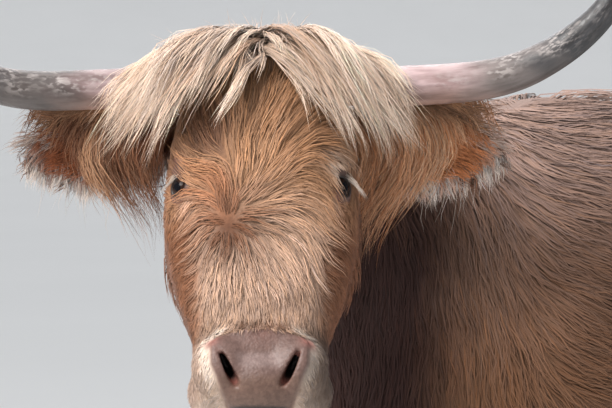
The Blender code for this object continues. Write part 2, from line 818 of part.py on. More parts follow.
def ear_locks(side):
    """The fringe: long and hanging under the ear, short over it, with a few strands in the cup."""
    _, along, upper, facing = ear_frame(side)
    rng = Random(EAR_SEED + side)
    locks = []

    def strand(share, start, edge, flow, length, width, bend):
        path = [ear_point(side, share, start), ear_point(side, share, edge)]
        heading = flow.normalized()
        for _ in range(2):
            path.append(path[-1] + heading * length / 2)
            heading = (heading + DOWN * bend).normalized()
        locks.append(make_lock(f"ear_lock_{len(locks)}", path, [facing] * len(path), width, EAR_LOCK[2]))

    for i in range(7):
        share = 0.07 + 0.80 * i / 6
        reach = EAR_LOCK[0] * eased(share, [(0, 1.0), (0.25, 1.15), (0.6, 0.85), (1, 0.55)])
        reach *= rng.uniform(0.85, 1.1)
        flow = -upper + along * rng.uniform(0.05, 0.40) + facing * rng.uniform(-0.1, 0.25)
        strand(share, -0.45, -0.95, flow, reach, EAR_LOCK[1] * rng.uniform(0.85, 1.2), 0.3)
    for i in range(4):
        share = 0.34 + 0.58 * i / 3
        flow = upper * (0.75 - 0.6 * share) + along * 0.8 + facing * 0.1
        strand(share, 0.45, 0.92, flow, EAR_LOCK[0] * 0.50 * rng.uniform(0.85, 1.15), EAR_LOCK[1] * 0.9, 0.35)
    for i in range(2):
        path, spots = [], 3
        for j in range(spots + 1):
            share = 0.10 + (0.42 + 0.08 * i) * j / spots
            path.append(ear_point(side, share, 0.25 - 0.35 * i - 0.35 * j / spots, 0.014 * j / spots))
        locks.append(make_lock(f"cup_lock_{i}", path, [facing] * len(path), EAR_LOCK[1] * 0.8, EAR_LOCK[2]))
    return locks


def tail_locks(tail):
    """Short locks down the dock and a long switch below it."""
    skin = tree_of([tail])
    rng = Random(TAIL_SEED)

    def down(place, normal):
        return along_skin(DOWN, normal)

    def on_dock(place, normal):
        return 0.56 < place.z < 0.95 and place.y > 0.72

    def near_tip(place, normal):
        return 0.48 < place.z < 0.62

    dock = scatter(tail, DOCK_SPACING, rng, on_dock, 800)
    switch = scatter(tail, SWITCH_SPACING, rng, near_tip, 800)
    locks = coat("dock_lock", skin, dock, down, DOCK_LOCK, rng, 3, SHORT_LIFT, 0.5, SHORT_SINK)
    lift = SHORT_LIFT * 1.3
    return locks + coat("switch_lock", skin, switch, down, SWITCH_LOCK, rng, 4, lift, 0.6, SHORT_SINK)


def leg_split(obj, name, side, forward):
    """The part of the body under the elbow or stifle on one side, front or hind."""
    half = block("region", Matrix.Translation((side * 0.5, -0.5 if forward else 0.55, LEG_TOP / 2 - 0.25)),
                 (1.0, 1.1, LEG_TOP + 0.5))
    return combine(duplicate(obj, name), [half], "INTERSECT")


def neck_plane():
    """A frame on the seam between neck and shoulder, whose Z points along the neck."""
    ahead = Vector((0, -0.93, 0.37)).normalized()
    return Matrix.Translation((0, -0.56, 0.85)) @ ahead.to_track_quat("Z", "Y").to_matrix().to_4x4()


def make_body():
    """The flesh of neck, torso and legs, modelled whole and parted by thin cuts."""
    body = fuse("body", torso_pieces() + neck_pieces() + leg_pieces(), 0.016, SMOOTHING)
    body = thin_out(body, BODY_TRIANGLES)
    floor = block("floor", Matrix.Translation((0, 0, HOOF_HEIGHT - 0.5)), (3, 4, 1))
    body = combine(body, [floor], "DIFFERENCE")
    seam = neck_plane()
    ahead = block("ahead", seam @ Matrix.Translation((0, 0, 0.5 + GAP)), (2, 2, 1))
    behind = block("behind", seam @ Matrix.Translation((0, 0, -1.5)), (3, 3, 3))
    above = block("above", Matrix.Translation((0, 0, LEG_TOP + GAP + 1)), (3, 4, 2))
    neck = combine(duplicate(body, "neck"), [ahead], "INTERSECT")
    torso = combine(combine(duplicate(body, "torso"), [behind], "INTERSECT"), [above], "INTERSECT")
    legs = {}
    for label, side in SIDES:
        for place, forward in (("front", True), ("hind", False)):
            name = f"leg_{place}_{label}"
            legs[name] = leg_split(body, name, side, forward)
    skin = tree_of([body])
    remove([body])
    return neck, torso, legs, skin


def claw_form(centre_x, centre_y):
    """One claw of a cloven hoof: a wedge with a rounded toe that faces forward, flat below."""
    rings = []
    sections = ((0.0, 1.0, 1.0, 0.0), (0.012, 1.0, 1.0, 0.001), (0.040, 0.84, 0.93, 0.008),
                (HOOF_HEIGHT - GAP, 0.68, 0.84, 0.017))
    for height, length, width, slide in sections:
        middle = Vector((centre_x, centre_y + slide, height))
        ring = []
        for i in range(8):
            turn = 2 * math.pi * (i + 0.5) / 8
            ahead = -math.cos(turn)
            reach = CLAW_LENGTH / 2 * length * (ahead if ahead < 0 else 0.86 * ahead)
            spread = CLAW_WIDTH / 2 * width * math.sin(turn) * (1 - 0.16 * max(0, -ahead))
            ring.append(middle + Vector((spread, reach, 0)))
        rings.append(ring)
    return tube("claw", rings)


def make_hoof(name, x, y):
    """Two claws joined at the heel, which part towards the toes."""
    claws = [claw_form(x - CLAW_SPREAD, y), claw_form(x + CLAW_SPREAD, y)]
    bridge = block("bridge", Matrix.Translation((x, y + 0.020, HOOF_HEIGHT / 2 + 0.010)),
                   (0.030, 0.034, HOOF_HEIGHT - 0.020 - 2 * GAP))
    hoof = combine(claws[0], [claws[1], bridge], "UNION")
    hoof.name = name
    return hoof


def make_tail():
    """The dock of the tail, which hangs clear of the rump."""
    sections = [(0.985, 0.655, 0.034), (0.985, 0.700, 0.036), (0.955, 0.738, 0.032), (0.90, 0.757, 0.027),
                (0.80, 0.762, 0.023), (0.68, 0.758, 0.020), (0.56, 0.753, 0.017), (0.46, 0.750, 0.013)]
    points = [Vector((0, y, z)) for z, y, _ in sections]
    rings = []
    for i, (_, _, radius) in enumerate(sections):
        ahead = points[min(i + 1, len(points) - 1)] - points[max(i - 1, 0)]
        across = Vector((1, 0, 0))
        behind = across.cross(ahead).normalized()
        rings.append(oval(points[i], across, behind, radius, radius, radius, 2.0, 12))
    return tube("tail", rings)


def make_head():
    """The head with its lids, eye sockets, nostrils and mouth, before its ears and horns are let in."""
    head = fuse("head", head_pieces(), HEAD_VOXEL, SMOOTHING)
    head = thin_out(head, HEAD_TRIANGLES)
    cuts = [mouth_cutter()]
    for _, side in SIDES:
        cuts += lid_cutters(side)
        cuts.append(nostril_cutter(side))
    return combine(head, cuts, "DIFFERENCE")


def centre_on_floor(objects):
    """Moves everything so that the origin is under the middle of the whole box."""
    points = [vertex.co for obj in objects for vertex in obj.data.vertices]
    low = Vector(min(p[i] for p in points) for i in range(3))
    high = Vector(max(p[i] for p in points) for i in range(3))
    shift = Vector((-(low.x + high.x) / 2, -(low.y + high.y) / 2, -low.z))
    for obj in objects:
        obj.data.transform(Matrix.Translation(shift))


def dress(node, locks, neighbours):
    """Fuses locks to their node, cuts the node clear of its neighbours and keeps one closed body."""
    node = merge_flat(combine(node, locks, "UNION"))
    return keep_largest(combine(node, grown(neighbours), "DIFFERENCE"))


def main():
    clear_scene()
    hide = make_material("hide", (0.30, 0.14, 0.07), 0.85)
    horn = make_material("horn", (0.45, 0.38, 0.36), 0.45)
    hoof = make_material("hoof", (0.05, 0.04, 0.04), 0.55)
    dark = make_material("eye", (0.01, 0.008, 0.008), 0.08)
    eyes = [make_eye("eye_" + label, side) for label, side in SIDES]
    horns = [make_horn("horn_" + label, side) for label, side in SIDES]
    head = make_head()
    crown = tree_of([head] + horns)
    head_skin = tree_of([head])
    ears = []
    for label, side in SIDES:
        ears.append(dress(make_ear_shell("ear_" + label, side), ear_locks(side), [head] + horns))
    head = dress(head, head_coat(head, head_skin) + forelock(crown), horns + ears)
    neck, torso, legs, body_skin = make_body()
    neck = dress(neck, neck_coat(neck, body_skin, head_skin), [head] + ears + horns)
    tail = make_tail()
    tail = dress(tail, tail_locks(tail), [])
    hooves = []
    for number, (name, leg) in enumerate(legs.items()):
        corners = [v.co for v in leg.data.vertices if v.co.z < HOOF_HEIGHT + 0.004]
        x = sum(c.x for c in corners) / len(corners)
        y = sum(c.y for c in corners) / len(corners)
        claws = make_hoof(name.replace("leg", "hoof"), x, y - 0.012)
        hooves.append(claws)
        legs[name] = dress(leg, leg_coat(leg, body_skin, LEG_SEED + number), [claws])
    torso = dress(torso, torso_coat(torso, body_skin), [neck, tail, head] + ears + list(legs.values()))
    for group, material in (
        ([head, neck, torso, tail] + ears + list(legs.values()), hide),
        (horns, horn),
        (hooves, hoof),
        (eyes, dark),
    ):
        for obj in group:
            obj.data.materials.clear()
            obj.data.materials.append(material)
    centre_on_floor([head, neck, torso, tail] + ears + list(legs.values()) + horns + hooves + eyes)


if __name__ == "__main__":
    main()
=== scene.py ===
"""Dresses the still highland cow: skin, eyes, horns, hooves and a long, wispy coat, on a plain pale stage.

The forms are worked out in the frame in which the cow was drawn: she faces -Y and her left side is +X.
finish_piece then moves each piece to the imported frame, whose origin is under the middle of her box.
"""

from dataclasses import dataclass
from math import asin, ceil, copysign, cos, hypot, pi, radians, sin
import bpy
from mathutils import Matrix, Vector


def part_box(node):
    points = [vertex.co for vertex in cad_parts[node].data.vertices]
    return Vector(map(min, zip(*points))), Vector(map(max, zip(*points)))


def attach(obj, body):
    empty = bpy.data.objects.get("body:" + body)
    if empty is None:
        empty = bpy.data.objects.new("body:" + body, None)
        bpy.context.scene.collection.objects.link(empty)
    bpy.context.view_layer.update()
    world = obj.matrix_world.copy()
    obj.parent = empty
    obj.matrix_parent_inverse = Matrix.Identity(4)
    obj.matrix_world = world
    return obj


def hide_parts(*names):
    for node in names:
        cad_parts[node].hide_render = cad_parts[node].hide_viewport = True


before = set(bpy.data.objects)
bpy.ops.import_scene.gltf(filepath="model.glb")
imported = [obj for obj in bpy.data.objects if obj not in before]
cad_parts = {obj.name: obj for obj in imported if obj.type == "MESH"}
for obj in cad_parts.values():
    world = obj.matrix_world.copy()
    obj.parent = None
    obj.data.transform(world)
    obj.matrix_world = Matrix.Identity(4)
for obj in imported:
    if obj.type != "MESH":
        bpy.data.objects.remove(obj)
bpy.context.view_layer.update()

from types import SimpleNamespace

import bmesh
import bpy
import numpy as np
from bpy.props import FloatProperty, FloatVectorProperty, PointerProperty
from mathutils import Matrix, Vector
from mathutils.bvhtree import BVHTree
from mathutils.kdtree import KDTree
from numpy.linalg import norm

bl_info = {
    "name": "Highland Cow Coat",
    "version": (1, 0, 0),
    "blender": (4, 5, 0),
    "location": "3D View > Sidebar > Highland Cow",
    "description": "Skin, eyes, horns, hooves and long coat of a life-size still highland cow",
    "category": "Object",
}

# Photo: its width in pixels, and the size of one at the head
PHOTO_WIDTH = 612
PIXEL_SIZE = 0.0012

# Stance
WITHERS_HEIGHT = 1.14
HEAD_TURN = radians(50)
FACE_SLOPE = radians(28)
POLL = Vector((0.1, -0.875, 1.2))
FRONT_STANCE = 0.145
HIND_STANCE = 0.14
FORWARD = Vector((sin(HEAD_TURN), -cos(HEAD_TURN), 0))
FACE_LEFT = Vector((cos(HEAD_TURN), sin(HEAD_TURN), 0))
FACE_OUT = FORWARD * cos(FACE_SLOPE) + Vector((0, 0, sin(FACE_SLOPE)))
FACE_DOWN = FORWARD * sin(FACE_SLOPE) - Vector((0, 0, cos(FACE_SLOPE)))
HEAD = Matrix.Translation(POLL) @ Matrix((FACE_LEFT, FACE_OUT, FACE_DOWN)).transposed().to_4x4()
HEAD_AXES = np.array([FACE_LEFT, FACE_OUT, FACE_DOWN])
DOWN = Vector((0, 0, -1))
AXIS_X, AXIS_Y, AXIS_Z = Vector((1, 0, 0)), Vector((0, 1, 0)), Vector((0, 0, 1))
SIDES = (("left", 1), ("right", -1))
FLESH = ["head", "neck", "torso", "tail", "ear_left", "ear_right"]
FLESH += [f"leg_{end}_{label}" for end in ("front", "hind") for label, _ in SIDES]

# Feet
HOOF_HEIGHT = 0.062
CLAW_LENGTH = 0.098
CLAW_WIDTH = 0.046
CLAW_SPREAD = 0.027
FETLOCK = {"front": -0.372, "hind": 0.5}
DEWCLAW_BEHIND = 0.046
DEWCLAW_SPREAD = 0.021
DEWCLAW_HEIGHT = 0.1
DEWCLAW_RADII = (0.011, 0.01, 0.019)

# Eyes, in the head's own frame: across to her left, out of the face, and down it
EYE_RADIUS = 0.0205
EYE_PLACE = Vector((0.0857, -0.042, 0.168))
EYE_GAZE = Vector((0.72, 0.69, 0.04)).normalized()
LID_RUN = Vector((-0.41, 0.4, 0.82))
LID_OPENING = (0.0108, 0.0124)
LID_THICKNESS = 0.0052
LID_REACH = 0.0075
LID_SINK = 0.0035
SOCKET_GAP = 0.0035

# Head and muzzle
HEAD_LENGTH = 0.452
NOSTRIL_UPPER = Vector((0.056, -0.001, 0.378))
NOSTRIL_LOWER = Vector((0.0275, -0.015, 0.428))
NOSTRIL_INWARD = Vector((0.1, -0.86, -0.5)).normalized()
MOUTH_FRONT = (-0.076, 0.47)
MOUTH_CORNER = (-0.118, 0.368)
MOUTH_SLOT = 0.005
WHORL = (-0.037, 0.233)

# Horns and ears
HORN_THICKNESS = 0.05
EAR_ROOT = Vector((0.09, -0.096, 0.062))
EAR_LENGTH = 0.2
EAR_WIDTH = 0.094
EAR_SHELL = 0.006
EAR_CUP = 0.026
EAR_HOLLOW = [(0, 0.9), (0.4, 1), (0.8, 0.55), (1, 0.1)]
# Painted light and shade on the rust of each ear: bright on her left ear, dull on her right one
EAR_PAINTED_LIGHT = {1: np.array((2.05, 2.15, 2.25)), -1: np.array((0.8, 0.66, 0.6))}

# Studio: where the floor starts to sweep up into a wall, and what the camera looks at on the head
SWEEP_START = 45
SWEEP_RADIUS = 25
LOOK_AT = Vector((0.054, -0.038, 0.169))
LOOK_DROP = Vector((0, 0, -0.017))

# Meshing
HEAD_VOXEL = 0.003
BODY_VOXEL = 0.011
STRAND_LIMIT = 190000
BAKE_PATCH = 0.003

# What the operators hand to one another, by name: the skin's surfaces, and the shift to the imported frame
FORMS = {}


def length_property(name, description, default, low, high):
    return FloatProperty(
        name=name, description=description, default=default, min=low, max=high,
        unit="LENGTH", subtype="DISTANCE")


class CowCoat(bpy.types.PropertyGroup):
    face: length_property("Face Hair", "Length of the hair on the bridge of the nose", 0.038, 0.005, 0.1)
    forelock: length_property("Forelock", "Length of the strands that fall from the poll", 0.205, 0.05, 0.4)
    ear_fringe: length_property(
        "Ear Fringe", "Length of the longest hair that hangs from an ear", 0.115, 0.02, 0.3)
    neck: length_property(
        "Neck and Shoulder", "Length of the hair on the neck and shoulder", 0.105, 0.02, 0.3)
    flank: length_property("Flank", "Length of the hair on the barrel and rump", 0.135, 0.02, 0.3)
    leg: length_property("Leg", "Length of the hair on the upper part of the legs", 0.085, 0.01, 0.2)
    switch: length_property("Tail Switch", "Length of the hair at the end of the tail", 0.25, 0.05, 0.4)
    depth: length_property("Coat Depth", "How far the skin lies inside the packed solids", 0.004, 0, 0.02)


def colour_property(name, description, colour):
    return FloatVectorProperty(
        name=name, description=description, subtype="COLOR", size=3, min=0, max=1, default=colour)


class CowColours(bpy.types.PropertyGroup):
    fawn: colour_property("Fawn", "Bridge of the nose", (0.475, 0.305, 0.218))
    tan: colour_property("Tan", "Forehead", (0.38, 0.198, 0.105))
    russet: colour_property("Russet", "Cheeks and jaw", (0.19, 0.07, 0.03))
    rust: colour_property("Rust", "Middle of the whorl and the cups of the ears", (0.3, 0.105, 0.04))
    # Umber: the dark brown of some ear hair, and also painted shade over the brows, under the forelock's
    # parting and deep in the ears
    umber_and_painted_shade: colour_property("Umber", "Over the eyes and deep in the ears", (0.15, 0.066, 0.036))
    blond: colour_property("Blond", "Forelock", (0.82, 0.63, 0.505))
    cream: colour_property("Cream", "Round the nose, and the lashes", (0.7, 0.57, 0.48))
    # Silver: the ear fringe's pale colour, partly its own and partly painted light shining through the hair
    silver_and_painted_backlight: colour_property("Silver", "Fringe of the ears", (0.47, 0.4, 0.36))
    # Neck: painted shade, a near-black brown where the side of the neck lies in the head's shadow
    neck: colour_property("Neck", "Side of the neck behind the head", (0.034, 0.0115, 0.0085))
    shoulder: colour_property("Shoulder", "Shoulder and flank", (0.225, 0.122, 0.08))
    # Back: painted light, paler and cooler where the sky lights the top of the back near the withers
    back: colour_property("Back", "Along the back", (0.285, 0.185, 0.15))
    belly: colour_property("Belly", "Belly and legs", (0.235, 0.112, 0.058))
    nose: colour_property("Nose", "Bare plate of the nose", (0.15, 0.09, 0.075))
    lid: colour_property("Lid", "Rims of the eyes", (0.175, 0.08, 0.055))
    horn_base: colour_property("Horn Base", "Horn beside the head", (0.44, 0.32, 0.325))
    horn_middle: colour_property("Horn Middle", "Half way along the horn", (0.125, 0.105, 0.1))
    horn_tip: colour_property("Horn Tip", "Points of the horns", (0.04, 0.04, 0.044))
    hoof: colour_property("Hoof", "Hooves and dewclaws", (0.055, 0.042, 0.036))
    iris: colour_property("Iris", "Iris of the eye", (0.022, 0.011, 0.008))
    floor: colour_property("Floor", "Floor of the studio", (0.84, 0.84, 0.83))


class CowStudio(bpy.types.PropertyGroup):
    azimuth: FloatProperty(
        name="Azimuth", description="Turn of the camera round the cow",
        default=radians(50), subtype="ANGLE", unit="ROTATION")
    elevation: FloatProperty(
        name="Elevation", description="Height of the camera over the level of the head",
        default=radians(3), subtype="ANGLE", unit="ROTATION")
    distance: FloatProperty(
        name="Distance", description="From the camera to the face",
        default=4, min=1, unit="LENGTH", subtype="DISTANCE")
    span: FloatProperty(
        name="Span", description="Width of the picture at the face",
        default=PHOTO_WIDTH * PIXEL_SIZE, min=0.1, unit="LENGTH", subtype="DISTANCE")
    key: FloatProperty(
        name="Key Light", description="Power of the main light", default=215, min=0, unit="POWER")
    fill: FloatProperty(
        name="Fill Light", description="Power of the weak light", default=2.5, min=0, unit="POWER")
    sky: FloatProperty(name="Sky", description="Strength of the light from all round", default=0.35, min=0)
    ceiling: FloatProperty(
        name="Ceiling", description="Strength of the soft light from straight above", default=1.2, min=0)


def palette(context):
    """The cow's colours as arrays, by name."""
    colours = context.scene.cow_colours
    names = CowColours.__annotations__
    return SimpleNamespace(**{name: np.array(getattr(colours, name)) for name in names})


def unit(vectors):
    return vectors / np.maximum(norm(vectors, axis=-1, keepdims=True), 1e-9)


def step(value, low, high):
    """0 at low and 1 at high, eased between them; low may be the greater."""
    share = np.clip((value - low) / (high - low), 0, 1)
    return share * share * (3 - 2 * share)


def columns(*values):
    return np.stack(values, axis=1)


def mix(first, second, weight):
    weight = np.asarray(weight)[..., None]
    return first * (1 - weight) + np.asarray(second) * weight


def spot(places, centre, radius):
    """1 at a centre, fading smoothly to 0 beyond about twice the radius."""
    distance = norm(places - np.asarray(centre), axis=-1)
    return np.exp(-((distance / radius) ** 2))


def ripple(places, size, seed):
    """Smooth noise between about -1 and 1, whose swells are about this size."""
    rng = np.random.default_rng(seed)
    waves = unit(rng.normal(size=(9, 3))) * (2 * pi / size) * rng.uniform(0.5, 1.5, (9, 1))
    return np.sin(places @ waves.T + rng.uniform(0, 2 * pi, 9)).sum(axis=1) / 3


def ripples(places, size, seed):
    return np.stack([ripple(places, size, seed + axis) for axis in range(3)], axis=1)


def in_head(places):
    """Places in the head's own frame: across to her left, out of the face, and down it."""
    return (places - np.array(POLL)) @ HEAD_AXES.T


def down_face(places):
    return in_head(places)[:, 2]


def out_of_head(vectors):
    return vectors @ HEAD_AXES


def along_skin(directions, normals):
    flat = directions - normals * np.sum(directions * normals, axis=1, keepdims=True)
    weak = norm(flat, axis=1) < 0.05
    flat[weak] = np.array(DOWN)
    return unit(flat)


def eased(value, knots):
    """A smooth curve through (place, value) knots, flat beyond its ends."""
    if value <= knots[0][0]:
        return knots[0][1]
    for i in range(len(knots) - 1):
        (x0, y0), (x1, y1) = knots[i], knots[i + 1]
        if value > x1:
            continue
        before, after = knots[max(i - 1, 0)], knots[min(i + 2, len(knots) - 1)]
        slope_in = (y1 - before[1]) / (x1 - before[0])
        slope_out = (after[1] - y0) / (after[0] - x0)
        width = x1 - x0
        t = (value - x0) / width
        return (
            (2 * t**3 - 3 * t**2 + 1) * y0
            + (t**3 - 2 * t**2 + t) * width * slope_in
            + (3 * t**2 - 2 * t**3) * y1
            + (t**3 - t**2) * width * slope_out
        )
    return knots[-1][1]


def between(values, knots):
    """A value for each of many places, from straight runs between (place, value) knots."""
    return np.interp(values, [x for x, _ in knots], [y for _, y in knots])


def new_object(name, data):
    obj = bpy.data.objects.new(name, data)
    bpy.context.scene.collection.objects.link(obj)
    return obj


def make_solid(name, bm):
    """Makes a closed mesh object of this bmesh, with its faces pointing out."""
    bmesh.ops.triangulate(bm, faces=bm.faces)
    bmesh.ops.recalc_face_normals(bm, faces=bm.faces)
    mesh = bpy.data.meshes.new(name)
    bm.to_mesh(mesh)
    bm.free()
    return new_object(name, mesh)


def remove(objects):
    for obj in objects:
        bpy.data.objects.remove(obj)


def oval(centre, across, up, half_width, rise, drop, squareness=2, sides=40):
    """A ring round a centre: an oval that may be taller above the centre than below it."""
    ring = []
    for i in range(sides):
        turn = 2 * pi * i / sides
        c, s = cos(turn), sin(turn)
        wide = copysign(abs(c) ** (2 / squareness), c) * half_width
        tall = copysign(abs(s) ** (2 / squareness), s) * (rise if s > 0 else drop)
        ring.append(centre + across * wide + up * tall)
    return ring


def tube(name, rings, tip=None):
    """A closed tube through rings of points, with a cap on each open end, or a tip at the last."""
    bm = bmesh.new()
    loops = [[bm.verts.new(point) for point in ring] for ring in rings]
    count = len(loops[0])
    for near, far in zip(loops, loops[1:]):
        for i in range(count):
            j = (i + 1) % count
            bm.faces.new((near[i], near[j], far[j]))
            bm.faces.new((near[i], far[j], far[i]))
    for loop, point in ((loops[0], None), (loops[-1], tip)):
        if point is None:
            point = sum((v.co for v in loop), Vector()) / count
        apex = bm.verts.new(point)
        for i in range(count):
            bm.faces.new((loop[i], loop[(i + 1) % count], apex))
    return make_solid(name, bm)


def ellipsoid(name, centre, radii, turn=None, segments=32, rings=20):
    bm = bmesh.new()
    bmesh.ops.create_uvsphere(bm, u_segments=segments, v_segments=rings, radius=1)
    matrix = Matrix.Translation(centre) @ (turn or Matrix.Identity(4)) @ Matrix.Diagonal((*radii, 1))
    bmesh.ops.transform(bm, matrix=matrix, verts=bm.verts)
    return make_solid(name, bm)


def block(name, matrix, size):
    bm = bmesh.new()
    bmesh.ops.create_cube(bm, size=1)
    bmesh.ops.transform(bm, matrix=matrix @ Matrix.Diagonal((*size, 1)), verts=bm.verts)
    return make_solid(name, bm)


def moved(obj, matrix):
    obj.data.transform(matrix)
    return obj


def settle_modifiers(obj):
    """Applies every modifier of this object to its mesh."""
    graph = bpy.context.evaluated_depsgraph_get()
    mesh = bpy.data.meshes.new_from_object(obj.evaluated_get(graph))
    obj.modifiers.clear()
    obj.data = mesh
    return obj


def combine(obj, others, operation):
    """Joins to or cuts from this object the closed meshes given, which are removed."""
    operands = bpy.data.collections.new("operands")
    bpy.context.scene.collection.children.link(operands)
    for other in others:
        bpy.context.scene.collection.objects.unlink(other)
        operands.objects.link(other)
    boolean = obj.modifiers.new(operation, "BOOLEAN")
    boolean.operation = operation
    boolean.operand_type = "COLLECTION"
    boolean.collection = operands
    boolean.solver = "MANIFOLD"
    settle_modifiers(obj)
    remove(others)
    bpy.data.collections.remove(operands)
    return obj


def smoothed_out(obj, voxel, smoothing):
    """Gives this closed mesh an even net of small faces, and rounds it."""
    remesh = obj.modifiers.new("skin", "REMESH")
    remesh.mode = "VOXEL"
    remesh.voxel_size = voxel
    smooth = obj.modifiers.new("smooth", "SMOOTH")
    smooth.factor = 0.5
    smooth.iterations = smoothing
    return settle_modifiers(obj)


def fuse(name, pieces, voxel, smoothing):
    """One smooth skin over closed pieces that run into each other."""
    bm = bmesh.new()
    for piece in pieces:
        bm.from_mesh(piece.data)
    whole = make_solid(name, bm)
    remove(pieces)
    return smoothed_out(whole, voxel, smoothing)


def points_of(obj):
    points = np.empty(len(obj.data.vertices) * 3)
    obj.data.vertices.foreach_get("co", points)
    return points.reshape(-1, 3)


def normals_of(obj):
    normals = np.empty(len(obj.data.vertices) * 3, dtype=np.float32)
    obj.data.vertex_normals.foreach_get("vector", normals)
    return normals.reshape(-1, 3).astype(float)


def set_points(obj, points):
    obj.data.vertices.foreach_set("co", points.ravel())
    obj.data.update()


def paint(obj, colours, name="coat"):
    """Keeps a colour at each corner point of the mesh."""
    rgba = np.ones((len(colours), 4))
    rgba[:, :3] = np.clip(colours, 0, 1)
    layer = obj.data.color_attributes.new(name, "FLOAT_COLOR", "POINT")
    layer.data.foreach_set("color", rgba.ravel())


def keep(obj, name, values):
    """Keeps a number or a vector at each corner point of the mesh."""
    kind, key = ("FLOAT", "value") if values.ndim == 1 else ("FLOAT_VECTOR", "vector")
    obj.data.attributes.new(name, kind, "POINT").data.foreach_set(key, values.ravel())


class Surface:
    """The skin of one or more closed meshes: where hair can grow, and the nearest place on it."""

    def __init__(self, *objects):
        bm = bmesh.new()
        for obj in objects:
            bm.from_mesh(obj.data)
        bmesh.ops.triangulate(bm, faces=bm.faces)
        self.tree = BVHTree.FromBMesh(bm)
        self.corners = np.array([[vertex.co for vertex in face.verts] for face in bm.faces])
        bm.free()
        cross = np.cross(self.corners[:, 1] - self.corners[:, 0], self.corners[:, 2] - self.corners[:, 0])
        self.areas = norm(cross, axis=1) / 2
        self.normals = unit(cross)

    def nearest(self, places):
        """The nearest place on the skin to each place, and the way out of the skin there."""
        found, facings = np.empty_like(places), np.empty_like(places)
        for i, place in enumerate(places.tolist()):
            found[i], facings[i], _, _ = self.tree.find_nearest(place)
        return found, facings

    def height(self, places):
        """How far out of the skin each place is; less than 0 inside it."""
        found, facings = self.nearest(places)
        return np.sum((places - found) * facings, axis=1)

    def scatter(self, spacing, wanted, rng):
        """Roots spread evenly over the wanted stretch of skin, and the way out at each."""
        middles = self.corners.mean(axis=1)
        chosen = np.flatnonzero(wanted(middles, self.normals))
        areas = self.areas[chosen]
        count = int(areas.sum() / spacing**2 * 2.2)
        picks = chosen[rng.choice(len(chosen), size=count, p=areas / areas.sum())]
        u, v = rng.random(count), rng.random(count)
        over = u + v > 1
        u[over], v[over] = 1 - u[over], 1 - v[over]
        a, b, c = (self.corners[picks, i] for i in range(3))
        roots = a + (b - a) * u[:, None] + (c - a) * v[:, None]
        cells = np.floor(roots / spacing).astype(np.int64)
        _, first = np.unique(cells, axis=0, return_index=True)
        first = np.sort(first)
        return roots[first], self.normals[picks[first]]


def comb(skin, roots, normals, lie, lengths, steps, lift, fall, sink, rise=0.25, stiffness=0.6):
    """Follows the lie from each root, out of the skin and over it, and lets the ends fall free."""
    paths, outward = [roots - normals * sink], [normals]
    places = roots.copy()
    headings = lie(roots, normals)
    down = np.array(DOWN)
    lift = np.broadcast_to(lift, len(roots))
    fall = np.broadcast_to(fall, len(roots))[:, None]
    for i in range(1, steps + 1):
        share = i / steps
        flow = lie(places, outward[-1]) * (1 - fall * share)
        headings = unit(flow + headings * stiffness + down * fall * share)
        places = places + headings * lengths[:, None] / steps
        found, facings = skin.nearest(places)
        height = np.sum((places - found) * facings, axis=1)
        wanted = lift * (rise + (1 - rise) * share)
        places = places + facings * np.maximum(wanted - height, 0)[:, None]
        paths.append(places)
        outward.append(unit(outward[-1] + facings))
    return np.stack(paths, axis=1), np.stack(outward, axis=1)


def read_along(curves, at):
    """Reads each curve, given as places in even steps, at its own shares of its length."""
    last = curves.shape[1] - 1
    at = np.clip(at, 0, 1) * last
    below = np.minimum(at.astype(int), last - 1)
    part = (at - below)[:, :, None]
    rows = np.arange(len(curves))[:, None]
    return curves[rows, below] * (1 - part) + curves[rows, below + 1] * part


@dataclass
class Hair:
    """Sizes of one kind of hair. Length, width and lift may be numbers or functions of the root."""

    length: object
    width: object
    spacing: float
    wisp: float
    points: int = 4
    lift: object = 0.008
    fall: float = 0.2
    pull: float = 0.7
    frizz: float = 0.03
    wave: float = 0
    wavelength: float = 0.06
    sink: float = 0.003
    stiffness: float = 0.6
    rise: float = 0.25
    spread: tuple = (0.65, 1)
    steps: int = 5


def at_roots(size, roots):
    return size(roots) if callable(size) else np.full(len(roots), float(size))


@dataclass
class Strands:
    """Strands of hair: the path of each, the way out of the skin along it, its width, root and wisp."""

    paths: np.ndarray
    outward: np.ndarray
    width: np.ndarray
    roots: np.ndarray
    wisp: np.ndarray

    def part(self, chosen):
        return Strands(*(values[chosen] for values in vars(self).values()))


def fill_out(paths, outward, guide_roots, lengths, roots, hair, rng):
    """Strands that grow from their own roots and lean on the nearest combed guide."""
    finder = KDTree(len(guide_roots))
    for i, root in enumerate(guide_roots):
        finder.insert(root, i)
    finder.balance()
    owner = np.array([finder.find(root)[1] for root in roots.tolist()])
    count = len(roots)
    shares = np.linspace(0, 1, hair.points + 1)[None, :]
    reach = rng.uniform(*hair.spread, (count, 1))
    middle = read_along(paths[owner], shares * reach)
    facing = unit(read_along(outward[owner], shares * reach))
    offset = (roots - guide_roots[owner])[:, None, :]
    pull = hair.pull * rng.uniform(0.55, 1.15, (count, 1)) * (shares * reach) ** 1.2
    strands = middle + offset * (1 - np.clip(pull, 0, 1))[:, :, None]
    ahead = unit(np.gradient(strands, axis=1))
    side = unit(np.cross(ahead, facing))
    size = (lengths[owner][:, None] * reach)[:, :, None]
    grown = (shares**1.2)[:, :, None]
    for axis in (side, facing * 0.5):
        phase = rng.uniform(0, 2 * pi, (count, 1, 1))
        turns = rng.uniform(0.4, 1.3, (count, 1, 1))
        swing = np.sin(phase + 2 * pi * turns * shares[:, :, None]) - np.sin(phase)
        strands = strands + axis * swing * size * hair.frizz * grown
    if hair.wave:
        phase = rng.uniform(0, 2 * pi, len(paths))[owner][:, None, None]
        phase = phase + rng.normal(0, 0.35, (count, 1, 1))
        bend = np.sin(2 * pi * shares[:, :, None] * size / hair.wavelength + phase) - np.sin(phase)
        strands = strands + side * bend * hair.wave * np.minimum(grown * 2, 1)
    width = at_roots(hair.width, roots) * rng.uniform(0.75, 1.2, count)
    return Strands(strands, facing, width, roots, owner)


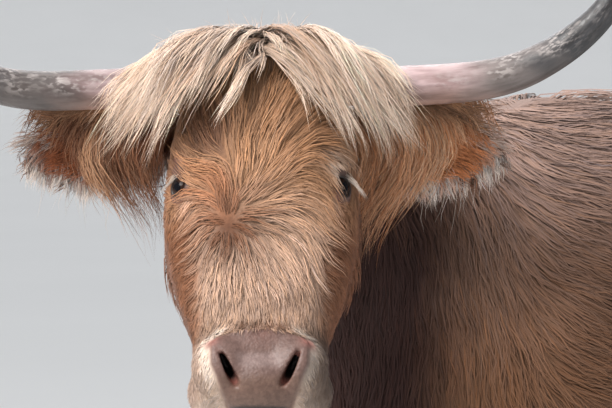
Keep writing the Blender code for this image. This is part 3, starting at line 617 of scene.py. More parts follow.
def grow(skin, field, hair, wanted, lie, seed, buried=None):
    """Grows one kind of hair over the wanted stretch of a field of skin."""
    rng = np.random.default_rng(seed)
    roots, _ = field.scatter(hair.spacing, wanted, rng)
    guides, normals = field.scatter(hair.wisp, wanted, rng)
    if buried:
        roots = roots[buried.height(roots) > 0.001]
        free = buried.height(guides) > 0.001
        guides, normals = guides[free], normals[free]
    lengths = at_roots(hair.length, guides) * rng.uniform(0.82, 1.15, len(guides))
    lift = at_roots(hair.lift, guides) * rng.uniform(0.55, 1.4, len(guides))
    paths, outward = comb(skin, guides, normals, lie, lengths, hair.steps, lift, hair.fall, hair.sink,
                          hair.rise, hair.stiffness)
    return fill_out(paths, outward, guides, lengths, roots, hair, rng)


def joined(groups):
    """One set of strands made of several with as many points each."""
    wisps, start = [], 0
    for group in groups:
        wisps.append(group.wisp + start)
        start += int(group.wisp.max()) + 1
    return Strands(
        np.concatenate([g.paths for g in groups]), np.concatenate([g.outward for g in groups]),
        np.concatenate([g.width for g in groups]), np.concatenate([g.roots for g in groups]),
        np.concatenate(wisps))


def strand_tones(strands, colours, rng, root_shade=0.6, tip_shade=1.1, variety=0.11, wisp_variety=0.1):
    """The colour at each point of each strand: shaded at its root, lighter at its tip, a little its own.

    colours holds one for each strand, or one for its root and one for its tip.
    """
    count, points = strands.paths.shape[:2]
    shares = np.linspace(0, 1, points)[None, :]
    shade = root_shade + (1 - root_shade) * np.clip(shares / 0.4, 0, 1)
    shade = shade * (1 + (tip_shade - 1) * shares)
    tone = 1 + rng.normal(0, variety, (count, 1))
    wisp_tone = rng.normal(0, wisp_variety, int(strands.wisp.max()) + 1)[strands.wisp][:, None]
    warmth = rng.normal(0, 0.035, (count, 1))
    scale = np.clip(tone + wisp_tone, 0.45, 1.6) * shade
    if colours.ndim == 3:
        base = mix(colours[:, :1], colours[:, 1:], shares**1.3)
    else:
        base = np.broadcast_to(colours[:, None, :], (count, points, 3))
    return base * scale[:, :, None] * np.stack([1 + warmth, np.ones_like(warmth), 1 - 1.5 * warmth], axis=2)


def strand_mesh(name, strands, tones, charted, softness=1):
    """One mesh of three-cornered, tapering strands, with a bake patch for each at its root's place.

    Softness is how far a strand is shaded like the skin under it: at 0, only by its own roundness.
    """
    count, points = strands.paths.shape[:2]
    rings = points - 1
    ahead = unit(np.gradient(strands.paths, axis=1))
    side = unit(np.cross(ahead, strands.outward))
    flat = np.cross(side, ahead)
    shares = np.linspace(0, 1, points)
    taper = np.interp(shares, [0, 0.25, 0.6, 1], [0.75, 1, 0.75, 0.1])
    half = (strands.width[:, None] / 2 * taper[None, :])[:, :, None]
    left, ridge = strands.paths + side * half, strands.paths + flat * half * 0.6
    right = strands.paths - side * half
    body = np.stack([left, ridge, right], axis=2)[:, :rings]
    facing = unit(strands.outward) * softness
    soft = np.stack([facing + side * 0.55, facing + flat * 0.3, facing - side * 0.55], axis=2)[:, :rings]
    end = facing[:, -1:] + ahead[:, -1:] * 0.3
    soft = unit(np.concatenate([soft.reshape(count, -1, 3), end], axis=1).reshape(-1, 3))
    per_strand = rings * 3 + 1
    places = np.concatenate([body.reshape(count, -1, 3), strands.paths[:, -1:]], axis=1).reshape(-1, 3)
    faces = [(2, 1, 0)]
    for ring in range(rings - 1):
        for corner in range(3):
            near, beside = ring * 3 + corner, ring * 3 + (corner + 1) % 3
            faces += [(near, beside, beside + 3), (near, beside + 3, near + 3)]
    last = (rings - 1) * 3
    faces += [(last + corner, last + (corner + 1) % 3, rings * 3) for corner in range(3)]
    template = np.array(faces, dtype=np.int64)[:, ::-1]
    corners = (template[None] + (np.arange(count) * per_strand)[:, None, None]).reshape(-1, 3)
    mesh = bpy.data.meshes.new(name)
    mesh.vertices.add(len(places))
    mesh.vertices.foreach_set("co", places.astype(np.float32).ravel())
    mesh.loops.add(corners.size)
    mesh.loops.foreach_set("vertex_index", corners.astype(np.int32).ravel())
    mesh.polygons.add(len(corners))
    mesh.polygons.foreach_set("loop_start", np.arange(0, corners.size, 3, dtype=np.int32))
    mesh.update(calc_edges=True)
    mesh.shade_smooth()
    if softness:
        mesh.normals_split_custom_set_from_vertices(soft)
    obj = new_object(name, mesh)
    shade = np.concatenate([np.repeat(tones[:, :rings], 3, axis=1), tones[:, -1:]], axis=1).reshape(-1, 3)
    paint(obj, shade)
    local = np.zeros((per_strand, 2))
    local[:-1, 0] = np.tile([-0.5, 0, 0.5], rings)
    local[:-1, 1] = np.repeat(shares[:rings], 3) - 0.5
    local[-1, 1] = 0.5
    spots = (charted[:, None, :] + local[None] * BAKE_PATCH).reshape(-1, 2)
    layer = mesh.uv_layers.new(name="OFBake")
    layer.data.foreach_set("uv", np.clip(spots, 0, 1)[corners.ravel()].astype(np.float32).ravel())
    return obj


def head_chart(places):
    """An unwrap round the line from poll to chin."""
    across, out, down = in_head(places).T
    return columns(0.5 + np.arctan2(across, out + 0.11) / (2 * pi) * 0.98, 0.1 + down * 1.6)


def body_chart(places):
    """An unwrap round the line from neck to rump."""
    turn = np.arctan2(places[:, 0], places[:, 2] - 0.82)
    return columns(0.5 + turn / (2 * pi) * 0.98, (places[:, 1] + 1) / 1.85)


def leg_chart(places):
    """An unwrap round each leg, side by side on one map."""
    side = np.where(places[:, 0] > 0, 1, -1)
    hind = places[:, 1] > 0.1
    column = (side > 0) * 2 + hind * 1
    middle = np.where(hind, 0.5, -0.37)
    stance = np.where(hind, HIND_STANCE, FRONT_STANCE)
    turn = np.arctan2(places[:, 0] - side * stance, places[:, 1] - middle)
    return columns((column + 0.5 + turn / (2 * pi) * 0.94) / 4, 0.05 + places[:, 2] * 1.3)


def tail_chart(places):
    turn = np.arctan2(places[:, 0], places[:, 1] - 0.75)
    return columns(0.5 + turn / (2 * pi) * 0.98, 0.05 + places[:, 2] * 0.85)


def ear_chart(places):
    """The front and the back of each ear, side by side on one map."""
    chart = np.zeros((len(places), 2))
    for column, (_, side) in enumerate(SIDES):
        share, up, out = in_ear(places, side)
        here = in_head(places)[:, 0] * side > 0
        column_place = column * 2 + (out < 0)
        chart[here, 0] = (column_place + 0.5 + np.clip(up / EAR_WIDTH, -0.48, 0.48))[here] / 4
        chart[here, 1] = (0.1 + 0.75 * share)[here]
    return chart


def finish_piece(obj, material, *nodes, slot="hide"):
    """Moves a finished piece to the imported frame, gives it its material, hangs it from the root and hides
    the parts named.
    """
    obj.data.transform(Matrix.Translation(frame_shift()))
    obj.data.materials.clear()
    obj.data.materials.append(material)
    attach(obj, "root")
    if nodes:
        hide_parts(*nodes)
    return obj


def make_coat(name, strands, colour, chart, material, seed, softness=1, **shading):
    """One or more meshes of these strands, each under the limit of triangles for a piece."""
    rng = np.random.default_rng(seed)
    tones = strand_tones(strands, colour(strands.roots), rng, **shading)
    charted = chart(strands.roots)
    per_strand = 6 * (strands.paths.shape[1] - 1) - 2
    pieces = ceil(len(strands.roots) * per_strand / STRAND_LIMIT)
    for number, chosen in enumerate(np.array_split(np.arange(len(strands.roots)), pieces)):
        label = name if pieces == 1 else f"{name}_{number + 1}"
        piece = strand_mesh(label, strands.part(chosen), tones[chosen], charted[chosen], softness)
        finish_piece(piece, material)


def cover(name, field, hair, wanted, lie, seed, colour, chart, material, buried=None, **shading):
    """Grows one kind of hair over a field of skin, less what another form buries, and makes its coat."""
    strands = grow(FORMS["skin"], FORMS[field], hair, wanted, lie, seed, buried and FORMS[buried])
    make_coat(name, strands, colour, chart, material, seed + 1, **shading)


def mirrored(point, side):
    """A point or direction of the head's left side, on the side asked for."""
    return Vector((side * point.x, point.y, point.z))


def torso_forms():
    """Barrel, shoulders and rump: y, top, bottom and half width of each section."""
    sections = [
        (-0.66, 0.88, 0.7, 0.07), (-0.61, 0.97, 0.62, 0.135), (-0.53, 1.05, 0.56, 0.18),
        (-0.42, 1.118, 0.525, 0.215),
        (-0.3, WITHERS_HEIGHT, 0.515, 0.24),
        (-0.12, 1.125, 0.505, 0.275), (0.08, 1.105, 0.5, 0.3), (0.25, 1.1, 0.51, 0.305),
        (0.4, 1.105, 0.55, 0.28), (0.52, 1.1, 0.61, 0.24), (0.62, 1.075, 0.69, 0.185),
        (0.69, 1.01, 0.79, 0.11),
    ]
    rings = []
    for y, top, bottom, half_width in sections:
        middle = Vector((0, y, bottom + 0.52 * (top - bottom)))
        rise, drop = top - middle.z, middle.z - bottom
        rings.append(oval(middle, AXIS_X, AXIS_Z, half_width, rise, drop, 2.25))
    return [tube("barrel", rings)]


def neck_forms():
    """Neck from the withers to the poll: place, turn, half width, rise and drop of each section."""
    sections = [
        ((0.000, -0.34, 0.83), 0, 0.2, 0.27, 0.32), ((0.000, -0.48, 0.86), 2, 0.175, 0.245, 0.305),
        ((0.002, -0.6, 0.91), 10, 0.145, 0.21, 0.27),
        ((0.004, -0.71, 0.96), 22, 0.118, 0.185, 0.225),
        ((0.014, -0.78, 1.01), 36, 0.096, 0.145, 0.155),
        ((0.048, -0.835, 1.04), 48, 0.078, 0.1, 0.11),
    ]
    rings = []
    lean = Vector((0, -0.25, 0.97)).normalized()
    for place, turn, half_width, rise, drop in sections:
        across = Matrix.Rotation(radians(turn), 3, "Z") @ AXIS_X
        rings.append(oval(Vector(place), across, lean, half_width, rise, drop, 2))
    return [tube("neck_form", rings)]


def leg_forms():
    """The legs: height, y, shift outward, half width and half depth of each section."""
    front = [
        (0.9, -0.395, 0.005, 0.07, 0.12), (0.76, -0.4, 0.02, 0.095, 0.15),
        (0.64, -0.395, 0.015, 0.09, 0.125), (0.55, -0.375, 0.005, 0.07, 0.088),
        (0.46, -0.368, 0.000, 0.054, 0.064), (0.37, -0.37, 0.000, 0.045, 0.048),
        (0.315, -0.374, 0.000, 0.047, 0.049), (0.26, -0.37, 0.000, 0.038, 0.041),
        (0.19, -0.367, 0.000, 0.032, 0.035), (0.13, -0.367, 0.000, 0.035, 0.039),
        (0.095, -0.374, 0.000, 0.04, 0.045), (0.056, -0.386, 0.000, 0.041, 0.046),
    ]
    hind = [
        (0.98, 0.48, 0.01, 0.09, 0.12), (0.84, 0.48, 0.02, 0.115, 0.17),
        (0.7, 0.47, 0.015, 0.11, 0.165), (0.59, 0.47, 0.005, 0.085, 0.12),
        (0.5, 0.495, 0.000, 0.062, 0.08), (0.43, 0.525, 0.000, 0.048, 0.058),
        (0.38, 0.54, 0.000, 0.044, 0.053), (0.32, 0.535, 0.000, 0.037, 0.044),
        (0.22, 0.52, 0.000, 0.032, 0.036), (0.14, 0.508, 0.000, 0.035, 0.039),
        (0.1, 0.5, 0.000, 0.04, 0.045), (0.056, 0.486, 0.000, 0.041, 0.046),
    ]
    pieces = []
    for label, side in SIDES:
        for name, stance, sections in (("front_", FRONT_STANCE, front), ("hind_", HIND_STANCE, hind)):
            rings = []
            for z, y, shift, half_width, half_depth in sections:
                middle = Vector((side * (stance + shift), y, z))
                rings.append(
                    oval(middle, AXIS_X, AXIS_Y, half_width, half_depth, half_depth, 2.2))
            pieces.append(tube(name + label, rings))
    return pieces


def tail_form():
    """The dock of the tail, which hangs clear of the rump."""
    sections = [(0.985, 0.655, 0.034), (0.985, 0.7, 0.036), (0.955, 0.738, 0.032), (0.9, 0.757, 0.027),
                (0.8, 0.762, 0.023), (0.68, 0.758, 0.02), (0.56, 0.753, 0.017), (0.46, 0.75, 0.013)]
    points = [Vector((0, y, z)) for z, y, _ in sections]
    rings = []
    for i, (_, _, radius) in enumerate(sections):
        ahead = points[min(i + 1, len(points) - 1)] - points[max(i - 1, 0)]
        across = AXIS_X
        behind = across.cross(ahead).normalized()
        rings.append(oval(points[i], across, behind, radius, radius, radius, 2))
    return tube("tail_form", rings)


def head_forms():
    """Skull, jaw, brows, cheeks, lips and chin, in the head's own frame, then set in place."""
    face = [(0, -0.034), (0.02, -0.01), (0.06, 0.004), (0.14, 0.01), (0.2, 0.004), (0.27, -0.005),
            (0.36, -0.006), (0.395, -0.004), (0.425, -0.02), (0.452, -0.052)]
    jaw = [(0, -0.125), (0.05, -0.19), (0.1, -0.228), (0.17, -0.24), (0.23, -0.218), (0.3, -0.178),
           (0.37, -0.15), (0.42, -0.14), (0.452, -0.11)]
    width = [(0, 0.062), (0.03, 0.086), (0.08, 0.106), (0.165, 0.119), (0.25, 0.112), (0.315, 0.096),
             (0.355, 0.082), (0.4, 0.083), (0.43, 0.074), (0.452, 0.05)]
    rings = []
    count = 28
    for i in range(count + 1):
        down = HEAD_LENGTH * i / count
        top, bottom, half_width = eased(down, face), eased(down, jaw), eased(down, width)
        middle = top - 0.4 * (top - bottom)
        centre = Vector((0, middle, down))
        rise, drop = top - middle, middle - bottom
        rings.append(oval(centre, AXIS_X, AXIS_Y, half_width, rise, drop, 2.45))
    pieces = [tube("skull", rings)]
    middle_bulges = [
        ("poll", (0, -0.045, 0.012), (0.078, 0.045, 0.03)),
        ("chin", (0, -0.112, 0.432), (0.05, 0.034, 0.036)),
        ("nose_pad", (0, -0.034, 0.42), (0.06, 0.036, 0.04)),
    ]
    side_bulges = [
        ("brow", (0.084, -0.034, 0.132), (0.028, 0.026, 0.04)),
        ("horn_root", (0.08, -0.044, 0.028), (0.034, 0.034, 0.034)),
        ("cheek", (0.08, -0.12, 0.205), (0.038, 0.075, 0.085)),
        ("nostril_wing", (0.045, -0.026, 0.404), (0.038, 0.032, 0.042)),
        ("lip", (0.046, -0.066, 0.42), (0.043, 0.046, 0.04)),
    ]
    pieces += [ellipsoid(*bulge) for bulge in middle_bulges]
    for _, side in SIDES:
        for name, place, radii in side_bulges:
            pieces.append(ellipsoid(name, mirrored(Vector(place), side), radii))
        pieces.append(ellipsoid("lid_bulb", mirrored(EYE_PLACE, side), (EYE_RADIUS + LID_THICKNESS,) * 3))
    return [moved(piece, HEAD) for piece in pieces]


def nostril_cutter(side):
    """A slanting comma that is wide below and narrow above."""
    upper, lower = mirrored(NOSTRIL_UPPER, side), mirrored(NOSTRIL_LOWER, side)
    inward = mirrored(NOSTRIL_INWARD, side)
    slant = (lower - upper).normalized()
    thick = inward.cross(slant).normalized()
    rings = []
    for reach, size in ((-0.016, 1.2), (0.004, 1), (0.018, 0.85), (0.032, 0.45)):
        ring = []
        for i in range(28):
            turn = 2 * pi * i / 28
            share = 0.5 + 0.5 * cos(turn)
            fat = (0.0015 + 0.0062 * share**1.4) * size
            middle = upper.lerp(lower, 0.5) + inward * reach
            half = (lower - upper).length / 2 * size
            hook = thick * side * 0.004 * (1 - share) ** 2
            ring.append(middle + slant * half * cos(turn) + thick * fat * sin(turn) + hook)
        rings.append(ring)
    return moved(tube("nostril", rings), HEAD)


def mouth_cutter():
    """A thin slot from the front of the lips back to the corners of the mouth."""
    front, corner = Vector((0, *MOUTH_FRONT)), Vector((0, *MOUTH_CORNER))
    run = front - corner
    across = AXIS_X
    facing = run.normalized().cross(across)
    turn = Matrix((across, run.normalized(), -facing)).transposed().to_4x4()
    matrix = HEAD @ Matrix.Translation((front + corner) / 2) @ turn
    return block("mouth", matrix, (0.26, run.length, MOUTH_SLOT))


def ear_frame(side):
    """Where the ear grows, along it, across it to its upper rim, and out of its cup."""
    root = HEAD @ mirrored(EAR_ROOT, side)
    along = (FACE_LEFT * side + DOWN * 0.06 - FORWARD * 0.1).normalized()
    facing = (FORWARD + DOWN * 0.16 + FACE_LEFT * side * 0.05).normalized()
    upper = facing.cross(along).normalized() * side
    facing = along.cross(upper).normalized() * side
    return root, along, upper if upper.z > 0 else -upper, facing


def in_ear(places, side):
    """Share of the ear's length, distance up from its middle line, and distance out of its cup."""
    root, along, upper, facing = (np.array(v) for v in ear_frame(side))
    offset = places - root
    share = offset @ along / EAR_LENGTH
    return share, offset @ upper + 0.012 * share**2, offset @ facing


def ear_half(share):
    knots = [(0, 0.4), (0.2, 0.66), (0.5, 1), (0.75, 0.88), (0.92, 0.5), (1, 0.16)]
    return EAR_WIDTH / 2 * eased(share, knots)


def ear_point(side, share, across, height=0):
    """A point of the ear's cup: share runs from root to tip, across from lower to upper rim."""
    root, along, upper, facing = ear_frame(side)
    half = ear_half(share)
    cup = EAR_CUP * eased(share, EAR_HOLLOW)
    droop = 0.012 * share**2
    place = root + along * EAR_LENGTH * share + upper * (half * across - droop)
    return place + facing * (cup * (across**2 - 0.4) * min(1, half / 0.03) + height)


def ear_form(side):
    rings = []
    steps = 13
    for i in range(25):
        share = i / 24
        shell = EAR_SHELL * (1.5 - 0.7 * share)
        front = [ear_point(side, share, -1 + 2 * j / (steps - 1), shell / 2) for j in range(steps)]
        rear = [ear_point(side, share, 1 - 2 * j / (steps - 1), -shell / 2) for j in range(steps)]
        rings.append(front + rear)
    return tube("ear_form", rings)


def on_ear(places):
    """Which places belong to an ear."""
    found = np.zeros(len(places), dtype=bool)
    across = in_head(places)[:, 0]
    for _, side in SIDES:
        share, up, out = in_ear(places, side)
        found |= (share > 0.13) & (np.abs(up) < 0.062) & (np.abs(out) < 0.034) & (across * side > 0.104)
    return found


def eye_axes(side):
    """The eye's middle, its gaze, along its lids to the inner corner, and up across them."""
    gaze = mirrored(EYE_GAZE, side)
    along = mirrored(LID_RUN, side)
    along = (along - gaze * along.dot(gaze)).normalized()
    return mirrored(EYE_PLACE, side), gaze, along, gaze.cross(along) * -side


def eye_reach(places, side):
    """How far places in the head's frame are from the eye's gaze: 1 on the rim of the lids."""
    centre, gaze, along, up = (np.array(v) for v in eye_axes(side))
    away = unit(places - centre)
    long, high = away @ along * EYE_RADIUS / LID_OPENING[0], away @ up * EYE_RADIUS / LID_OPENING[1]
    reach = (np.abs(long) ** 1.8 + np.abs(high) ** 1.8) ** (1 / 1.8)
    near = (away @ gaze > 0.1) & (norm(places - centre, axis=1) < 0.05)
    return np.where(near, reach, 9)


def plate_half(down):
    """Half the width of the bare plate of the nose, at distances down the face."""
    return between(down, [(0.358, 0.038), (0.367, 0.049), (0.383, 0.058), (0.41, 0.057), (0.437, 0.046),
                          (0.455, 0.036)])


def plate_mask(places):
    """1 on the bare plate of the nose and its lips, and 0 on the hair round it."""
    across, out, down = in_head(places).T
    top = 0.358 + 4.5 * across**2
    half = plate_half(down)
    inside = step(down, top, top + 0.006) * step(np.abs(across), half + 0.003, half - 0.003)
    return inside * step(out, -0.09, -0.075)


def nostril_mask(places):
    """How deep places are in a nostril: 0 outside and 1 well inside."""
    found = np.zeros(len(places))
    local = in_head(places)
    for _, side in SIDES:
        upper, lower = mirrored(NOSTRIL_UPPER, side), mirrored(NOSTRIL_LOWER, side)
        inward = np.array(mirrored(NOSTRIL_INWARD, side))
        middle = np.array(upper.lerp(lower, 0.5))
        offset = local - middle
        depth = offset @ inward
        across = norm(offset - depth[:, None] * inward, axis=1)
        found = np.maximum(found, step(depth, 0.002, 0.012) * step(across, 0.027, 0.021))
    return found


def flesh_mask(places):
    """1 on the red inner skin along the outer rim of each nostril."""
    local = in_head(places)
    found = np.zeros(len(places))
    for _, side in SIDES:
        for share in (0.05, 0.35, 0.65, 0.95):
            rim = mirrored(NOSTRIL_UPPER.lerp(NOSTRIL_LOWER, share), side)
            rim += Vector((side * 0.002, -0.005, 0.001))
            found = np.maximum(found, spot(local, rim, 0.009))
    return found


def plate_tones(places, colours):
    """The bare plate: redder above, pinker between the nostrils, browner below, with painted shade at the
    mouth.
    """
    across, _, down = in_head(places).T
    flat = columns(across, down)
    pink = step(np.abs(down - 0.404), 0.014, 0.004) * step(np.abs(across), 0.034, 0.018)
    tones = mix(colours.nose, (0.155, 0.07, 0.052), spot(flat, (0, 0.366), 0.02) * 0.7)
    tones = mix(tones, (0.25, 0.18, 0.165), pink * 0.65)
    tones = mix(tones, (0.135, 0.078, 0.055), step(down, 0.418, 0.432) * 0.7)
    # Painted shade along the line where the lips meet
    line = 0.4575 - 2.4 * across**2
    mouth = step(np.abs(down - line), 0.0035, 0.0012) * step(np.abs(across), 0.046, 0.036)
    return mix(tones, (0.02, 0.012, 0.01), mouth)


def head_tones(places, colours):
    """The head's markings at places on it, and painted shade at brows, parting, muzzle side and towards the
    neck.
    """
    local = in_head(places)
    across, out, down = local.T
    wide, flat = np.abs(across), local[:, [0, 2]]
    tones = mix(colours.tan, colours.fawn, step(down, 0.17, 0.25) * step(wide, 0.1, 0.065))
    tones = mix(tones, colours.russet, step(down, 0.17, 0.23) * step(wide, 0.058, 0.082) * 0.9)
    # Under the forelock's parting: partly dark roots and partly painted shade
    tones = mix(tones, colours.umber_and_painted_shade, spot(flat, (0.004, 0.014), 0.028) * 0.9)
    # Painted shadow under the brow hair over her right eye
    tones = mix(tones, colours.umber_and_painted_shade, spot(flat, (-0.056, 0.12), 0.022) * 0.85)
    tones = mix(tones, colours.russet, step(out, -0.035, -0.085) * 0.9)
    tones = mix(tones, colours.rust * 0.42, spot(flat, WHORL, 0.024) * 0.97)
    for share in (0.3, 0.6, 0.9):
        stain = (WHORL[0] - 0.016 * share, WHORL[1] - 0.055 * share)
        tones = mix(tones, colours.rust, spot(flat, stain, 0.015) * 0.55)
    for side in (1, -1):
        # Painted shade over the brows, far darker over her right eye than over her left
        for place, radius in (((side * 0.062, 0.134), 0.02), ((side * 0.1, 0.14), 0.026)):
            tones = mix(tones, colours.umber_and_painted_shade, spot(flat, place, radius) * (0.46 - 0.3 * side))
        tones = mix(tones, (0.62, 0.38, 0.28), spot(flat, (side * 0.085, 0.195), 0.01) * 0.75)
    tones = mix(tones, colours.cream, spot(flat, (0.08, 0.145), 0.017) * 0.65)
    tones = mix(tones, colours.cream, step(down, 0.35, 0.385) * step(wide, 0.03, 0.056) * 0.4)
    edge = wide - plate_half(down)
    band = step(edge, -0.004, 0.000) * step(edge, 0.014, 0.007)
    band = band * step(down, 0.345, 0.36) * step(down, 0.44, 0.42)
    tones = mix(tones, colours.cream * 1.15, band * 0.9)
    for across_spot in (-0.018, -0.004, 0.01, 0.024):
        tones = mix(tones, colours.umber_and_painted_shade, spot(flat, (across_spot, 0.352), 0.0075) * 0.85)
    tones = mix(tones, colours.cream, step(down, 0.43, 0.45) * 0.6)
    # Painted shade: the muzzle darkens on her left side, as if turned away from the light
    tones = tones * (1 - 0.6 * step(across, 0.03, 0.062) * step(down, 0.34, 0.36))[:, None]
    # Painted shade: the back and underside of the head darken towards the neck's painted shade
    tones = mix(tones, colours.neck, step(out, -0.13, -0.2) * 0.55)
    tones = mix(tones, colours.blond, step(down, 0.05, 0) * 0.5)
    return tones * (1 + 0.1 * ripple(places, 0.05, 41))[:, None]


def ear_tones(places, colours):
    """The ear: deep brown painted shade at the root of its cup, rust further out, and a pale fringed rim.
    """
    tones = np.zeros((len(places), 3))
    across = in_head(places)[:, 0]
    for _, side in SIDES:
        share, up, out = in_ear(places, side)
        half = np.array([ear_half(min(max(s, 0), 1)) for s in share])
        rim = np.maximum(np.abs(up) / np.maximum(half, 0.01), share * 1.02)
        cup = EAR_CUP * between(share, EAR_HOLLOW)
        middle = cup * (np.clip(up / np.maximum(half, 0.01), -1, 1) ** 2 - 0.4) * np.minimum(1, half / 0.03)
        # Painted light and shade: the rust is bright on her left ear and dull on her right, and umber
        # painted shade fills the cup towards its root
        inner = mix(colours.rust * EAR_PAINTED_LIGHT[side], colours.umber_and_painted_shade, step(share, 0.45, 0.15) * 0.6)
        # Painted shade under the cup's upper rim
        inner = mix(inner, colours.umber_and_painted_shade, step(up, 0.01, 0.034) * 0.6)
        shell = mix(colours.russet, inner, step(out - middle, -0.002, 0.001))
        low = np.maximum(step(up, 0.014, -0.006), step(share, 0.9, 0.99))
        # The pale rim is partly its own colour and partly painted light shining through the fringe
        shell = mix(shell, colours.silver_and_painted_backlight, step(rim, 0.86, 1.02) * step(share, 0.25, 0.6) * low * 0.85)
        here = across * side > 0
        tones[here] = shell[here]
    return tones


def behind_head(places):
    """How far back on the body places are, along lines that slant out and forward over the shoulder."""
    return places[:, 1] + 0.84 * np.abs(places[:, 0]) - 0.147


def body_tones(places, colours):
    """The body: painted shade on the neck behind the head, red-brown on the side, painted sky light along
    the back.
    """
    y, z = places[:, 1], places[:, 2]
    # Painted light: the top of the back near the withers is paler and cooler, as if lit by the sky above
    tones = mix(colours.shoulder, colours.back, step(z, 0.92, 1.1) * step(y, -0.66, -0.42))
    tones = mix(tones, colours.belly, step(z, 0.98, 0.78))
    # Painted shade: the side of the neck darkens behind the head, as if in its shadow
    tones = mix(tones, colours.neck, step(behind_head(places), -0.57, -0.71) * step(z, 1.15, 1.01))
    return tones * (1 + 0.12 * ripple(places, 0.16, 51) + 0.07 * ripple(places, 0.05, 52))[:, None]


def hide_tones(places, colours):
    """The markings all over, with their painted light and shade, which skin and coat share."""
    head = FORMS["head"].height(places) < 0.03
    tones = body_tones(places, colours)
    tones[head] = head_tones(places[head], colours)
    ears = on_ear(places)
    tones[ears] = ear_tones(places[ears], colours)
    return tones


def face_lie(places, normals):
    """The lie on the face: out from the whorl, up to the poll, down the nose, and back along the cheeks."""
    across, out, down = in_head(places).T
    away = unit(columns(across - WHORL[0], down - WHORL[1]))
    drop = between(down, [(0.16, 0), (0.22, 0.4), (0.28, 1.1), (0.34, 1.4)])
    drop = drop + between(across, [(0.028, 0), (0.085, 1.6)]) * between(down, [(0.09, 0.2), (0.15, 1)])
    drop = drop + between(-across, [(0.05, 0), (0.085, 1.3)]) * between(down, [(0.16, 0), (0.21, 1)])
    parted = step(down, 0.335, 0.375) * across / 0.05 * 0.9
    flow = unit(columns(away[:, 0] + parted, np.zeros(len(places)), away[:, 1] + drop))
    level = columns(np.sign(across), np.zeros(len(places)), np.full(len(places), 0.35))
    cheek = step(np.abs(across), 0.064, 0.084) * step(down, 0.2, 0.235) * step(down, 0.37, 0.34)
    flow = mix(flow, level, cheek)
    brow = spot(columns(across, down), (-0.056, 0.156), 0.022)
    flow = mix(flow, (-1, 0, 0.12), brow * 0.9)
    flow = out_of_head(flow) + ripples(places, 0.035, 61) * 0.14
    back = np.array(DOWN) * 0.35 - np.array(FORWARD)
    weight = step(out, -0.045, -0.105)[:, None]
    return along_skin(flow * (1 - weight) + back * weight, normals)


def body_lie(places, normals):
    """The lie of the long coat: down the neck, back over shoulder and flank, down the rump and legs."""
    side = np.where(places[:, 0] > 0, 1, -1)
    backward = between(behind_head(places), [
        (-0.6, 0), (-0.54, 0.12), (-0.49, 0.5), (-0.45, 1.4), (-0.4, 2.4), (-0.2, 1.8), (0.25, 1.1),
        (0.55, 0.5), (0.7, 0.1)])
    backward = backward * between(places[:, 2], [(0.45, 0), (0.6, 0.35), (0.9, 1)])
    outward = side * np.maximum(0, normals[:, 2]) * 1.1
    level = np.zeros(len(places))
    downhill = along_skin(columns(outward, level, level - 1), normals)
    rearward = along_skin(columns(level, level + 1, level), normals)
    flow = unit(downhill + rearward * backward[:, None]) + ripples(places, 0.13, 71) * 0.14
    return along_skin(flow, normals)


def down_lie(places, normals):
    flow = np.array(DOWN) + ripples(places, 0.06, 81) * 0.12
    return along_skin(np.broadcast_to(flow, places.shape).copy(), normals)


def horn_path(side):
    """Across, height and forward reach of the horn's middle line. The right horn dips before it rises."""
    rise = {
        1: [(0.06, 0.002), (0.166, 0.001), (0.262, 0.007), (0.31, 0.018), (0.35, 0.037),
            (0.386, 0.062), (0.415, 0.092), (0.438, 0.135), (0.45, 0.185), (0.452, 0.235)],
        -1: [(0.06, 0.002), (0.14, -0.001), (0.21, -0.004), (0.27, -0.005), (0.316, 0.001),
             (0.362, 0.02), (0.402, 0.054), (0.43, 0.104), (0.446, 0.16), (0.452, 0.218)],
    }[side]
    root = HEAD @ Vector((0, -0.044, 0.027))
    points = []
    for across, height in rise:
        forward = 0.03 * (across / 0.45) ** 2 + 0.1 * max(0, height) ** 1.2
        points.append(root + FACE_LEFT * side * across + Vector((0, 0, height)) + FORWARD * forward)
    return points


def horn_radius(share):
    knots = [(0, 1), (0.4, 0.98), (0.58, 0.84), (0.75, 0.64), (0.88, 0.42), (1, 0.13)]
    return HORN_THICKNESS / 2 * eased(share, knots)


def sample_path(points, count):
    """Evenly spread places along a smooth curve through the points."""
    lengths = [0]
    for near, far in zip(points, points[1:]):
        lengths.append(lengths[-1] + (far - near).length)
    found = []
    for i in range(count):
        at = lengths[-1] * i / (count - 1)
        found.append(
            Vector(eased(at, [(along, p[axis]) for along, p in zip(lengths, points)]) for axis in range(3)))
    return found


def horn_rings(side, count, sides, relief=None):
    """Rings along a horn, whose skin may stand in or out by a relief of its share and turn."""
    path = sample_path(horn_path(side), count)
    rings = []
    for i, point in enumerate(path):
        ahead = path[min(i + 1, count - 1)] - path[max(i - 1, 0)]
        across = ahead.cross(FORWARD).normalized()
        upward = across.cross(ahead).normalized()
        radius = horn_radius(i / (count - 1))
        ring = oval(point, across, upward, radius, radius, radius, 2, sides)
        if relief:
            for j, corner in enumerate(ring):
                proud = relief(i / (count - 1), 2 * pi * j / sides)
                ring[j] = point + (corner - point) * (1 + proud / radius)
        rings.append(ring)
    return rings[:-1], path[-1] + (path[-1] - path[-2]) * 0.4


def frame_shift():
    """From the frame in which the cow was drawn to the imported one, read from the left horn's box."""
    if "shift" not in FORMS:
        rings, tip = horn_rings(1, 14, 10)
        corners = [corner for ring in rings for corner in ring] + [tip]
        low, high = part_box("horn_left")
        drawn_low = Vector(min(c[axis] for c in corners) for axis in range(3))
        drawn_high = Vector(max(c[axis] for c in corners) for axis in range(3))
        FORMS["shift"] = (Vector(low) + Vector(high) - drawn_low - drawn_high) / 2
    return FORMS["shift"]


